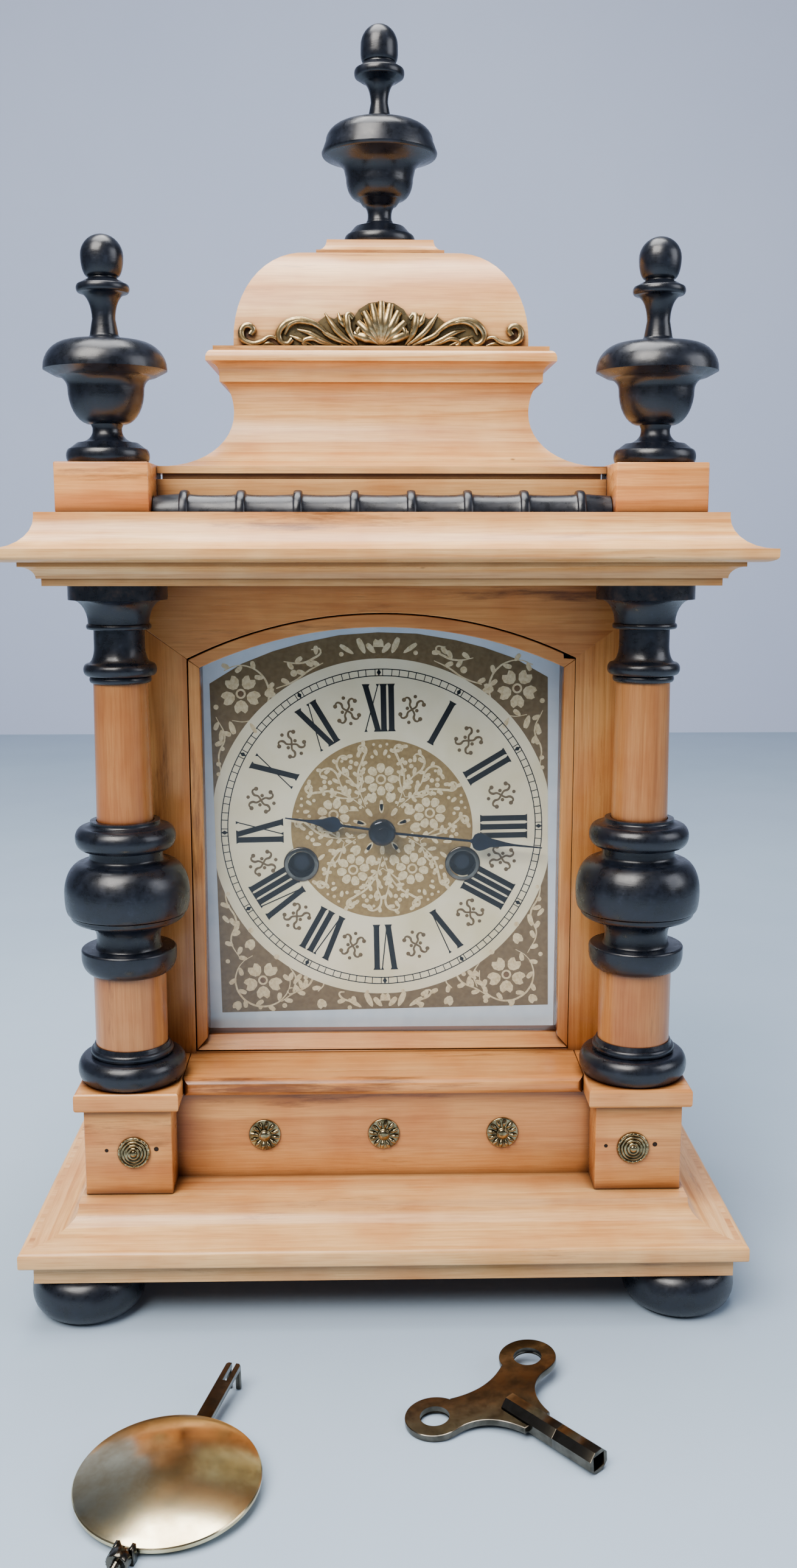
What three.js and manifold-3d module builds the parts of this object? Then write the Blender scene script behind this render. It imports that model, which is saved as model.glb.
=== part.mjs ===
// A mantel clock of about 1900: pine case with ebonised turnings, an eight-day movement with
// anchor escapement and gong, and the loose pendulum and winding key that lie in front of it.
// Millimetres. +X is to the clock's right as seen from the front, +Y to its back, +Z up.
import * as THREE from 'three';
import * as BufferGeometryUtils from 'three/addons/utils/BufferGeometryUtils.js';
import Module from 'manifold-3d';

// Clearances
const SEAT_GAP = 0.3;
const DOOR_GAP = 0.4;

// Fineness of the curves
const MOULDED_STEPS = 3;
const TURNED_STEPS = 2;
const ARC_STEPS = 6;
const WHEEL_ARC_STEPS = 2;
const TURNED_SIDES = 12;
const SMALL_SIDES = 10;
const LENS_SIDES = 32;

// Plinth, cornice and the levels between them
const MOULDING_WIDTH = 260;
const DEPTH = 160;
const FOOT_HEIGHT = 17.5;
const FOOT_RADIUS = 20.5;
const FOOT_TREAD = 12;
const PLINTH_HEIGHT = 23.5;
const PEDESTAL_HEIGHT = 33;
const CAP_HEIGHT = 7;
const COLUMN_HEIGHT = 183;
const CORNICE_HEIGHT = 24.5;
const BLOCK_HEIGHT = 17;

// Pedestals, columns and corner blocks, which stand over each other
const COLUMN_INSET = 36;
const COLUMN_Y = -38.5;
const PEDESTAL_WIDTH = 32;
const CAP_OVERHANG = 3;
const BASE_HEIGHT = 14;
const LOWER_SHAFT_HEIGHT = 27;
const COLLAR_HEIGHT = 57;
const CAPITAL_HEIGHT = 35;
const LOWER_SHAFT_RADIUS = 13.25;
const UPPER_SHAFT_RADIUS = 10.2;
const SHAFT_TAPER = 0.95;
const BASE_RADIUS = 20;
const COLLAR_RADIUS = 22.75;
const COLLAR_RING_RADIUS = 18.2;
const CAPITAL_RADIUS = 17.5;

// Case box behind the columns
const BODY_MARGIN = 4;
const SIDE_THICKNESS = 10;
const FRAME_FRONT = -15;
const FRAME_THICKNESS = 18;
const BACK_THICKNESS = 8;
const BACK_INSET = 5;
const APRON_FRONT = -39.5;
const SILL_FRONT = -44;
const RAIL_WIDTH = 10;
const RAIL_DEPTH = 20;
const RAIL_SETBACK = 11;
const RAIL_MARGIN = 10;

// Front door
const DOOR_INSET = 5.2;
const DOOR_BOTTOM_CLEARANCE = 1;
const DOOR_HEAD = 12;
const DOOR_RISE = 17;
const DOOR_THICKNESS = 12;
const STILE_WIDTH = 4.2;
const RAIL_HEIGHT = 8;
const CROWN_WIDTH = 4.9;
const GLASS_THICKNESS = 2;
const GLASS_LAP = 1.5;
const GLASS_DEPTH = 6;
const STOP_WIDTH = 3.5;
const HINGE_INSET = 2;
const HINGE_PIN_RADIUS = 1;
const HINGE_PIN_LENGTH = 4;
const HINGE_RELIEF = 3;
const CLOSING_BEVEL = 1;

// Back door and its button
const BACK_DOOR_INSET = 38;
const BACK_DOOR_SILL = 54;
const BACK_DOOR_HEIGHT = 130;
const BUTTON_LENGTH = 22;
const BUTTON_WIDTH = 7;
const BUTTON_THICKNESS = 3;
const BUTTON_MARGIN = 6;

// Dial and hands
const DIAL_RISE = 85.5;
const DIAL_THICKNESS = 1.2;
const DIAL_LAP = 9.2;
const DIAL_FOOT_LAP = 3;
const DIAL_HEAD = 6;
const DIAL_HOLE_RADIUS = 4;
const WINDING_X = 32;
const WINDING_DROP = 14;
const WINDING_HOLE_RADIUS = 5.5;
const HOUR_HAND_LENGTH = 38.4;
const MINUTE_HAND_LENGTH = 63.2;
const HOUR_HAND_TURN = 278;
const MINUTE_HAND_TURN = 96;
const HAND_THICKNESS = 0.8;
const HAND_STANDOFF = 3.2;
const HAND_SPACING = 2.4;
const COLLET_RADIUS = 5.5;
const COLLET_HEIGHT = 2.2;

// Movement
const PLATE_HALF = 61;
const PLATE_THICKNESS = 2.5;
const PLATE_SPACING = 32;
const PLATE_BELOW = 54.5;
const PLATE_ABOVE = 59.5;
const PILLAR_RADIUS = 4;
const PILLAR_INSET = 8;
const EAR_HEIGHT = 10;
const PIVOT_RADIUS = 1.2;
const CENTRE_ARBOR_RADIUS = 1.8;
const WINDING_ARBOR_RADIUS = 3;
const ARBOR_SETBACK = 1.8;
const GREAT_WHEEL_RADIUS = 28;
const GREAT_WHEEL_TEETH = 50;
const CENTRE_WHEEL_RADIUS = 19;
const CENTRE_WHEEL_TEETH = 40;
const THIRD_WHEEL_RADIUS = 16;
const THIRD_WHEEL_TEETH = 35;
const THIRD_PINION_RADIUS = 3.8;
const ESCAPE_PINION_RADIUS = 3.2;
const ESCAPE_WHEEL_RADIUS = 12;
const ESCAPE_WHEEL_TEETH = 30;
const HOUR_WHEEL_RADIUS = 11;
const WHEEL_THICKNESS = 2;
const TOOTH_DEPTH = 1.5;
const PINION_TOOTH_DEPTH = 1;
const PINION_WALL = 1;
const GREAT_WHEEL_BACKSET = 4;
const CENTRE_WHEEL_BACKSET = 12;
const THIRD_WHEEL_BACKSET = 18;
const ESCAPE_WHEEL_BACKSET = 24;
const HOUR_WHEEL_BACKSET = 4;
const HOUR_WHEEL_THICKNESS = 1.5;
const HOUR_PIPE_WALL = 0.8;
const HAND_BOSS = 2.2;
const ESCAPE_DISTANCE = 33;
const ANCHOR_DISTANCE = 17;
const PALLET_GAP = 1.4;
const CRUTCH_LENGTH = 26;
const CRUTCH_BACKSET = 1.5;
const CRUTCH_WIRE = 1.2;
const CRUTCH_PLAY = 0.5;
const LEADER_LENGTH = 66;
const LEADER_WIDTH = 3;
const LEADER_THICKNESS = 1.5;
const LEADER_EYE_RADIUS = 3.5;
const LEADER_PIN_LENGTH = 7;
const LEADER_BACKSET = 5;
const COCK_RISE = 4.5;
const COCK_WIDTH = 10;
const COCK_TAB_WIDTH = 6;
const GONG_RADIUS = 28;
const GONG_TURNS = 3;
const GONG_PITCH = 6;
const GONG_WIRE_RADIUS = 1.6;
const GONG_FOOT_GAP = 7;
const GONG_BLOCK_WIDTH = 8.5;
const GONG_BLOCK_DEPTH = 14;
const GONG_BLOCK_RISE = 3;
const GONG_BACKSET = 8;
const HAMMER_HEAD_RADIUS = 4;
const HAMMER_HEAD_LENGTH = 8;
const HAMMER_ANGLE = 140;
const HAMMER_GAP = 1;
const HAMMER_ARM_WIDTH = 1.8;
const HAMMER_ARBOR_OFFSET = 13;
const HAMMER_ARBOR_RISE = 9.5;

// Pediment, dome and finials
const PEDIMENT_FRONT = -34;
const PEDIMENT_BACK = 60;
const PEDIMENT_HEIGHT = 60;
const BLOCK_SHIFT = 1.8;
const WAIST_INSET = 25.2;
const LEDGE_INSET = 16;
const DOME_INSET = 25.5;
const DOME_HEIGHT = 38.5;
const DOME_CAP_HALF = 24.5;
const DOME_CAP_TOP_HALF = 20.5;
const DOME_CAP_HEIGHT = 6;
const GALLERY_RINGS = 8;
const GALLERY_END = 9.05;
const GALLERY_RING_RADIUS = 8;
const GALLERY_SPOOL_RADIUS = 5.25;
const GALLERY_RING_WIDTH = 3;
const GALLERY_Y = -43;
const SIDE_FINIAL = {
  height: 76.5, foot: 14.4, stem: 5.1, cup: 13.1, brim: 21.2, lid: 11.5, neck: 4, ring: 9.1, tip: 7.3,
};
const TOP_FINIAL = {
  height: 82.8, foot: 14, stem: 4.7, cup: 13.2, brim: 22.7, lid: 10.3, neck: 3.4, ring: 9.8, tip: 7.3,
};

// Pressed metal ornaments
const ROSETTE_RADIUS = 6;
const ROSETTE_HEIGHT = 2.4;
const ROSETTE_SPACING = 45;
const MOUNT_INSET = 2;
const MOUNT_HEIGHT = 15;
const MOUNT_THICKNESS = 3;
const SHELL_RADIUS = 11;

// Winding key
const KEY_X = 31.3;
const KEY_Y = -122;
const KEY_TURN = 39.6;
const KEY_RING_SPACING = 42.6;
const KEY_RING_RADIUS = 9.7;
const KEY_RING_HOLE = 5.1;
const KEY_THICKNESS = 2.2;
const KEY_TUBE_RADIUS = 4.1;
const KEY_TUBE_START = 12.5;
const KEY_WEB_END = 25;
const KEY_WEB_HALF = 5.6;
const KEY_LENGTH = 50.6;
const KEY_SQUARE = 4.6;
const KEY_BORE_DEPTH = 16;

// Pendulum
const BOB_X = -65.8;
const BOB_Y = -167.2;
const BOB_TURN = -15.5;
const BOB_RADIUS = 28;
const BOB_BACK_RISE = 3;
const BOB_RIM = 2;
const BOB_FRONT_RISE = 4;
const ROD_WIDTH = 5;
const ROD_THICKNESS = 2;
const ROD_DEPTH = 2;
const ROD_REACH = 56;
const HOOK_DROP = 9;
const HOOK_SLIT = 1.4;
const HOOK_SLIT_LENGTH = 9;
const STIRRUP_LENGTH = 3;
const STIRRUP_HEIGHT = 5.6;
const NUT_RADIUS = 3.3;
const NUT_LENGTH = 3.5;
const NUT_RISE = 0.9;
const THREAD_RADIUS = 1.4;
const THREAD_LENGTH = 23;

// Levels and planes that follow from these sizes
const FRONT = -DEPTH / 2;
const BACK = DEPTH / 2;
const HALF_WIDTH = MOULDING_WIDTH / 2;
const PLINTH_TOP = FOOT_HEIGHT + PLINTH_HEIGHT;
const PEDESTAL_TOP = PLINTH_TOP + PEDESTAL_HEIGHT;
const COLUMN_FOOT = PEDESTAL_TOP + CAP_HEIGHT;
const CORNICE_FOOT = COLUMN_FOOT + COLUMN_HEIGHT;
const CORNICE_TOP = CORNICE_FOOT + CORNICE_HEIGHT;
const BLOCK_TOP = CORNICE_TOP + BLOCK_HEIGHT;
const FRAME_BACK = FRAME_FRONT + FRAME_THICKNESS;
const BODY_BACK = BACK - BACK_INSET;
const COLUMN_X = HALF_WIDTH - COLUMN_INSET;
const BODY_HALF = COLUMN_X + BODY_MARGIN;
const PEDESTAL_FRONT = COLUMN_Y - PEDESTAL_WIDTH / 2;
const BLOCK_INNER = COLUMN_X - PEDESTAL_WIDTH / 2;
const CAP_INNER = BLOCK_INNER - CAP_OVERHANG;
const DOOR_HALF = BLOCK_INNER - DOOR_INSET;
const DOOR_CROWN = CORNICE_FOOT - DOOR_HEAD;
const DOOR_SPRING = DOOR_CROWN - DOOR_RISE;
const BACK_DOOR_HALF = BODY_HALF - BACK_DOOR_INSET;
const BACK_DOOR_BOTTOM = PLINTH_TOP + BACK_DOOR_SILL;
const BACK_DOOR_TOP = BACK_DOOR_BOTTOM + BACK_DOOR_HEIGHT;
const DIAL_CENTRE = COLUMN_FOOT + DIAL_RISE;
const DIAL_HALF = DOOR_HALF + DIAL_LAP;
const BLOCK_X = COLUMN_X + BLOCK_SHIFT;
const PEDIMENT_HALF = BLOCK_X - PEDESTAL_WIDTH / 2 - SEAT_GAP;
const WAIST_HALF = PEDIMENT_HALF - WAIST_INSET;
const LEDGE_HALF = PEDIMENT_HALF - LEDGE_INSET;
const DOME_HALF = PEDIMENT_HALF - DOME_INSET;
const MOUNT_HALF = DOME_HALF - MOUNT_INSET;
const PEDIMENT_TOP = CORNICE_TOP + PEDIMENT_HEIGHT;
const DOME_FRONT = PEDIMENT_FRONT + PEDIMENT_HALF - DOME_HALF;
const DOME_TOP = PEDIMENT_TOP + DOME_HEIGHT;
const DOME_CAP_FRONT = DOME_FRONT + DOME_HALF - DOME_CAP_HALF;
const DIAL_FRONT = FRAME_BACK;
const SIDES = [['left', -1], ['right', 1]];

// Finishes
const PINE = { color: 0xdcae7a, roughness: 0.55, metalness: 0 };
const DARK_PINE = { color: 0xb87a45, roughness: 0.5, metalness: 0 };
const EBONISED = { color: 0x14161c, roughness: 0.3, metalness: 0 };
const BRASS = { color: 0xb89a50, roughness: 0.3, metalness: 1 };
const OLD_BRASS = { color: 0x6e5c3c, roughness: 0.4, metalness: 1 };
const GILT = { color: 0x9a7c48, roughness: 0.45, metalness: 1 };
const STEEL = { color: 0x3a3f4a, roughness: 0.35, metalness: 1 };
const IRON = { color: 0x2b2b2d, roughness: 0.7, metalness: 0.6 };
const PAPER = { color: 0xe0dcc0, roughness: 0.6, metalness: 0 };
const GLASS = { color: 0xdfe8ea, roughness: 0.05, metalness: 0, transparent: true, opacity: 0.25 };

// An outline for turned and moulded work, drawn upwards from the foot. Its x is the radius of a
// turned piece or the half width of a moulded one.
class Outline extends THREE.Path {
  constructor(foot, bore = 0) {
    super();
    this.bore = bore;
    this.moveTo(bore, 0);
    this.lineTo(foot, 0);
  }

  step(radius) {
    return this.lineTo(radius, this.currentPoint.y);
  }

  cone(radius, height) {
    return this.lineTo(radius, this.currentPoint.y + height);
  }

  rise(height) {
    return this.cone(this.currentPoint.x, height);
  }

  // A quarter of an ellipse from here to the given radius, by way of a corner
  quarter(radius, height, cornerX, cornerY) {
    const { x, y } = this.currentPoint;
    const top = y + height;
    const k = 0.5523;
    return this.bezierCurveTo(
      x + k * (cornerX - x), y + k * (cornerY - y),
      radius + k * (cornerX - radius), top + k * (cornerY - top),
      radius, top,
    );
  }

  // Full, as the side of a bowl or a ball
  swell(radius, height) {
    const { x, y } = this.currentPoint;
    return radius > x
      ? this.quarter(radius, height, radius, y)
      : this.quarter(radius, height, x, y + height);
  }

  // Hollow, as a cove
  hollow(radius, height) {
    const { x, y } = this.currentPoint;
    return radius > x
      ? this.quarter(radius, height, x, y + height)
      : this.quarter(radius, height, radius, y);
  }

  // A half-round ring that stands out and comes back
  bead(bulge, height) {
    const { x } = this.currentPoint;
    return this.swell(x + bulge, height / 2).swell(x, height / 2);
  }

  // Rounded off to a point at the given height
  tip(height) {
    return this.swell(0, height - this.currentPoint.y);
  }

  finish() {
    this.step(this.bore);
    return this.bore > 0 ? this.lineTo(this.bore, 0) : this;
  }
}

function turned(outline, sides = TURNED_SIDES) {
  return new THREE.LatheGeometry(outline.finish().getPoints(TURNED_STEPS), sides).rotateX(Math.PI / 2);
}

function rod(radius, from, to, x = 0, z = 0, sides = SMALL_SIDES) {
  const geometry = new THREE.CylinderGeometry(radius, radius, to - from, sides);
  return geometry.translate(x, (from + to) / 2, z);
}

function upright(radius, from, to, x, y, sides = SMALL_SIDES) {
  const geometry = new THREE.CylinderGeometry(radius, radius, to - from, sides).rotateX(Math.PI / 2);
  return geometry.translate(x, y, (from + to) / 2);
}

function block(x0, x1, y0, y1, z0, z1) {
  const geometry = new THREE.BoxGeometry(x1 - x0, y1 - y0, z1 - z0);
  return geometry.translate((x0 + x1) / 2, (y0 + y1) / 2, (z0 + z1) / 2);
}

function extruded(shape, depth, curveSegments = ARC_STEPS) {
  return new THREE.ExtrudeGeometry(shape, { depth, bevelEnabled: false, curveSegments });
}

// A shape drawn as seen from the front, from the plane y = front back to y = back
function elevation(shape, front, back, curveSegments = ARC_STEPS) {
  const x = new THREE.Vector3(1, 0, 0);
  const y = new THREE.Vector3(0, 0, 1);
  const depth = new THREE.Vector3(0, -1, 0);
  const turn = new THREE.Matrix4().makeBasis(x, y, depth);
  return extruded(shape, back - front, curveSegments).applyMatrix4(turn).translate(0, back, 0);
}

// A shape drawn as seen from the side, with y across it and z up, from x = -half to x = half
function section(shape, half) {
  const x = new THREE.Vector3(0, 1, 0);
  const y = new THREE.Vector3(0, 0, 1);
  const depth = new THREE.Vector3(1, 0, 0);
  const turn = new THREE.Matrix4().makeBasis(x, y, depth);
  return extruded(shape, 2 * half).applyMatrix4(turn).translate(-half, 0, 0);
}

const wasm = await Module();
wasm.setup();

function solid(geometry) {
  const bare = geometry.clone();
  bare.deleteAttribute('normal');
  bare.deleteAttribute('uv');
  const merged = BufferGeometryUtils.mergeVertices(bare);
  return new wasm.Manifold(new wasm.Mesh({
    numProp: 3,
    vertProperties: merged.attributes.position.array,
    triVerts: Uint32Array.from(merged.index.array),
  }));
}

function surface(manifold) {
  const mesh = manifold.getMesh();
  const geometry = new THREE.BufferGeometry();
  geometry.setAttribute('position', new THREE.BufferAttribute(mesh.vertProperties, 3));
  geometry.setIndex(new THREE.BufferAttribute(mesh.triVerts, 1));
  geometry.computeVertexNormals();
  return geometry;
}

function joined(...geometries) {
  return surface(geometries.map(solid).reduce((whole, part) => whole.add(part)));
}

function cut(geometry, ...tools) {
  return surface(tools.map(solid).reduce((whole, tool) => whole.subtract(tool), solid(geometry)));
}

// A block whose moulding runs round its front and both sides, mitred at the corners, with a flat
// back. Its foot is at z = 0, and its widest point reaches the plane y = front.
function moulded(outline, front, back) {
  const points = outline.finish().getPoints(MOULDED_STEPS).slice(1, -1);
  const widest = Math.max(...points.map((point) => point.x));
  const right = points.map((point) => new THREE.Vector2(point.x, point.y));
  const left = points.map((point) => new THREE.Vector2(-point.x, point.y)).reverse();
  const nose = points.map((point) => new THREE.Vector2(front + widest - point.x, point.y));
  const top = nose[nose.length - 1].y;
  const heel = [new THREE.Vector2(back, top), new THREE.Vector2(back, 0)];
  const across = elevation(new THREE.Shape([...right, ...left]), front, back);
  const along = section(new THREE.Shape([...nose, ...heel]), widest);
  return surface(solid(across).intersect(solid(along)));
}

// A rectangle with a segmental arch on top
function arch(half, foot, spring, crown) {
  const rise = crown - spring;
  const radius = (half * half + rise * rise) / (2 * rise);
  const angle = Math.asin(half / radius);
  const shape = new THREE.Shape();
  shape.moveTo(-half, foot);
  shape.lineTo(half, foot);
  shape.lineTo(half, spring);
  shape.absarc(0, crown - radius, radius, Math.PI / 2 - angle, Math.PI / 2 + angle, false);
  shape.closePath();
  return shape;
}

function rectangle(x0, x1, y0, y1) {
  const corners = [[x0, y0], [x1, y0], [x1, y1], [x0, y1]];
  return new THREE.Shape(corners.map(([x, y]) => new THREE.Vector2(x, y)));
}

function piece(parent, name, finish, geometry, x = 0, y = 0, z = 0) {
  const mesh = new THREE.Mesh(geometry, new THREE.MeshStandardMaterial(finish));
  mesh.name = name;
  mesh.position.set(x, y, z);
  parent.add(mesh);
  return mesh;
}

const clock = new THREE.Group();

// Feet: flattened balls under the corners of the plinth
const FOOT_INSET = FOOT_RADIUS + 0.5;
for (const [end, y] of [['front', FRONT + FOOT_INSET], ['rear', BACK - FOOT_INSET]]) {
  for (const [side, sign] of SIDES) {
    const outline = new Outline(FOOT_TREAD)
      .swell(FOOT_RADIUS, FOOT_HEIGHT / 2)
      .swell(FOOT_RADIUS * 0.75, FOOT_HEIGHT / 2);
    piece(clock, `foot_${end}_${side}`, EBONISED, turned(outline), sign * (HALF_WIDTH - FOOT_INSET), y, 0);
  }
}

// Plinth: under-band, rounded nose and a long hollow slope up to the floor of the case
const PLINTH_NOSE = 5.5;
const PLINTH_BAND = 6.5;
const PLINTH_SLOPE = 8.5;
const PLINTH_MARGIN = 1.5;
const PLINTH_TOP_HALF = BLOCK_INNER + PEDESTAL_WIDTH + PLINTH_MARGIN;
const plinthOutline = new Outline(HALF_WIDTH - 4.5)
  .rise(PLINTH_BAND)
  .swell(HALF_WIDTH, 1.5)
  .rise(PLINTH_NOSE - 1.5)
  .swell(HALF_WIDTH - 2, 1.5)
  .step(HALF_WIDTH - 4)
  .hollow(PLINTH_TOP_HALF, PLINTH_SLOPE)
  .rise(PLINTH_HEIGHT - PLINTH_BAND - PLINTH_NOSE - PLINTH_SLOPE - 1.5);
piece(clock, 'plinth', PINE, moulded(plinthOutline, FRONT, BACK), 0, 0, FOOT_HEIGHT);

// Apron between the pedestals, and the sill above it
const apronShape = block(-BLOCK_INNER, BLOCK_INNER, APRON_FRONT, FRAME_FRONT, PLINTH_TOP, PEDESTAL_TOP);
piece(clock, 'apron_panel', DARK_PINE, apronShape);
const sill = new THREE.Shape();
const noseRadius = CAP_HEIGHT / 2;
sill.moveTo(FRAME_FRONT, 0);
sill.lineTo(FRAME_FRONT, CAP_HEIGHT);
sill.lineTo(SILL_FRONT + noseRadius, CAP_HEIGHT);
sill.absarc(SILL_FRONT + noseRadius, noseRadius, noseRadius, Math.PI / 2, Math.PI * 1.5, false);
sill.closePath();
piece(clock, 'sill_moulding', PINE, section(sill, CAP_INNER), 0, 0, PEDESTAL_TOP);

// Pedestals and their rounded caps
for (const [side, sign] of SIDES) {
  const half = PEDESTAL_WIDTH / 2;
  const pedestal = block(-half, half, PEDESTAL_FRONT, FRAME_FRONT, PLINTH_TOP, PEDESTAL_TOP);
  piece(clock, `pedestal_${side}`, DARK_PINE, pedestal, sign * COLUMN_X);
  const capOutline = new Outline(half + CAP_OVERHANG - 1)
    .swell(half + CAP_OVERHANG, 1.5)
    .rise(CAP_HEIGHT - 3)
    .swell(half + CAP_OVERHANG - 1, 1.5);
  const cap = moulded(capOutline, PEDESTAL_FRONT - CAP_OVERHANG, FRAME_FRONT);
  piece(clock, `pedestal_cap_${side}`, PINE, cap, sign * COLUMN_X, 0, PEDESTAL_TOP);
}

// Columns: base ring, shaft with a shoulder, collar slid down over the shaft, capital
function columnBase() {
  return turned(new Outline(BASE_RADIUS - 3)
    .bead(3, 9.5)
    .step(LOWER_SHAFT_RADIUS + 1)
    .bead(1, 3)
    .cone(LOWER_SHAFT_RADIUS + 0.5, BASE_HEIGHT - 12.5));
}

function columnShaft() {
  const upper = COLUMN_HEIGHT - BASE_HEIGHT - LOWER_SHAFT_HEIGHT - COLLAR_HEIGHT - CAPITAL_HEIGHT;
  return turned(new Outline(LOWER_SHAFT_RADIUS)
    .rise(LOWER_SHAFT_HEIGHT)
    .step(UPPER_SHAFT_RADIUS)
    .rise(COLLAR_HEIGHT)
    .cone(UPPER_SHAFT_RADIUS * SHAFT_TAPER, upper));
}

function columnCollar() {
  const waist = UPPER_SHAFT_RADIUS + 1.4;
  const ring = COLLAR_RING_RADIUS;
  const bulb = COLLAR_HEIGHT - 34.6;
  return turned(new Outline(LOWER_SHAFT_RADIUS, UPPER_SHAFT_RADIUS + SEAT_GAP)
    .cone(ring - 0.8, 6.2)
    .rise(2.2)
    .swell(ring - 1.6, 1)
    .step(waist + 0.8)
    .hollow(waist, 3.9)
    .hollow(waist + 4.9, 6)
    .swell(COLLAR_RADIUS, bulb * 0.48)
    .swell(ring - 2.2, bulb * 0.52)
    .hollow(waist + 1.7, 1.8)
    .rise(3)
    .step(ring - 3)
    .bead(3, 8.4)
    .hollow(waist + 1, 1.4)
    .rise(0.7));
}

function columnCapital() {
  const foot = UPPER_SHAFT_RADIUS;
  return turned(new Outline(foot)
    .bead(0.8, 2.5)
    .step(foot + 1.3)
    .bead(1.5, 4.5)
    .hollow(foot - 1.2, 6)
    .rise(6)
    .step(foot + 0.6)
    .bead(0.7, 2)
    .hollow(CAPITAL_RADIUS - 1, 8.5)
    .step(CAPITAL_RADIUS)
    .rise(CAPITAL_HEIGHT - 29.5));
}

for (const [side, sign] of SIDES) {
  const column = new THREE.Group();
  column.position.set(sign * COLUMN_X, COLUMN_Y, COLUMN_FOOT);
  const shoulder = BASE_HEIGHT + LOWER_SHAFT_HEIGHT;
  piece(column, `column_base_${side}`, EBONISED, columnBase());
  piece(column, `column_shaft_${side}`, PINE, columnShaft(), 0, 0, BASE_HEIGHT);
  piece(column, `column_collar_${side}`, EBONISED, columnCollar(), 0, 0, shoulder);
  piece(column, `capital_${side}`, EBONISED, columnCapital(), 0, 0, COLUMN_HEIGHT - CAPITAL_HEIGHT);
  clock.add(column);
}

// Side panels, each with the upright rail that carries the movement
const RAIL_FRONT = FRAME_BACK + RAIL_SETBACK;
const RAIL_BOTTOM = DIAL_CENTRE - PLATE_BELOW - RAIL_MARGIN;
const RAIL_TOP = DIAL_CENTRE + PLATE_ABOVE + RAIL_MARGIN;
for (const [side, sign] of SIDES) {
  const outer = sign * BODY_HALF;
  const inner = sign * (BODY_HALF - SIDE_THICKNESS);
  const reach = sign * (BODY_HALF - SIDE_THICKNESS - RAIL_WIDTH);
  const back = BODY_BACK - BACK_THICKNESS;
  const [x0, x1] = [Math.min(outer, inner), Math.max(outer, inner)];
  const [r0, r1] = [Math.min(reach, inner + sign), Math.max(reach, inner + sign)];
  const panel = block(x0, x1, FRAME_BACK, back, PLINTH_TOP, CORNICE_FOOT);
  const rail = block(r0, r1, RAIL_FRONT, RAIL_FRONT + RAIL_DEPTH, RAIL_BOTTOM, RAIL_TOP);
  piece(clock, `side_panel_${side}`, PINE, joined(panel, rail));
}

// Fixed front frame, rebated for the door, with holes for the door's hinge pins
const DOOR_BOTTOM = COLUMN_FOOT + DOOR_BOTTOM_CLEARANCE;
const HINGE_X = DOOR_HALF - HINGE_INSET;
const HINGE_Y = FRAME_FRONT + HINGE_INSET;
const doorRadius = (DOOR_HALF ** 2 + (DOOR_CROWN - DOOR_SPRING) ** 2) / (2 * (DOOR_CROWN - DOOR_SPRING));
const HINGE_TOP = DOOR_CROWN - doorRadius + Math.sqrt(doorRadius ** 2 - HINGE_X ** 2);
const recess = arch(
  DOOR_HALF + DOOR_GAP, DOOR_BOTTOM - DOOR_GAP, DOOR_SPRING + DOOR_GAP, DOOR_CROWN + DOOR_GAP,
);
const stopHole = arch(
  DOOR_HALF - STOP_WIDTH, DOOR_BOTTOM + STOP_WIDTH,
  DOOR_SPRING - STOP_WIDTH / 2, DOOR_CROWN - STOP_WIDTH / 2,
);
const bodyShape = rectangle(-BODY_HALF, BODY_HALF, PLINTH_TOP, CORNICE_FOOT);
const frameBoard = elevation(bodyShape, FRAME_FRONT, FRAME_BACK);
const pinHole = HINGE_PIN_RADIUS + SEAT_GAP;
const pinReach = HINGE_PIN_LENGTH + SEAT_GAP;
piece(clock, 'front_frame', DARK_PINE, cut(
  frameBoard,
  elevation(recess, FRAME_FRONT - 1, FRAME_FRONT + DOOR_THICKNESS + SEAT_GAP),
  elevation(stopHole, FRAME_FRONT, FRAME_BACK + 1),
  upright(pinHole, DOOR_BOTTOM - pinReach, DOOR_BOTTOM, HINGE_X, HINGE_Y),
  upright(pinHole, HINGE_TOP - 2, HINGE_TOP + pinReach, HINGE_X, HINGE_Y),
));

// Front door: arched frame, rounded about its hinge pins and relieved above them, rebated at the
// back for the glass. Its closing edge is bevelled, and just clears the left collar as it opens.
const doorBack = FRAME_FRONT + DOOR_THICKNESS;
const doorBlank = elevation(
  arch(DOOR_HALF, DOOR_BOTTOM, DOOR_SPRING, DOOR_CROWN), FRAME_FRONT, doorBack,
);
const bevelAngle = Math.atan2(CLOSING_BEVEL, DOOR_THICKNESS);
const bevel = block(-DOOR_THICKNESS, 0, -1, 2 * DOOR_THICKNESS, DOOR_BOTTOM - 1, DOOR_CROWN)
  .rotateZ(-bevelAngle)
  .translate(-DOOR_HALF, FRAME_FRONT, 0);
const sight = arch(
  DOOR_HALF - STILE_WIDTH, DOOR_BOTTOM + RAIL_HEIGHT, DOOR_SPRING - 3, DOOR_CROWN - CROWN_WIDTH,
);
const glassPlane = FRAME_FRONT + GLASS_DEPTH;
const glassHalf = DOOR_HALF - STILE_WIDTH + GLASS_LAP;
const glassFoot = DOOR_BOTTOM + RAIL_HEIGHT - GLASS_LAP;
const glassSpring = DOOR_SPRING - 3 + GLASS_LAP / 2;
const glassCrown = DOOR_CROWN - CROWN_WIDTH + GLASS_LAP;
const rebate = arch(
  glassHalf + SEAT_GAP, glassFoot - SEAT_GAP, glassSpring + SEAT_GAP, glassCrown + SEAT_GAP,
);
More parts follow.
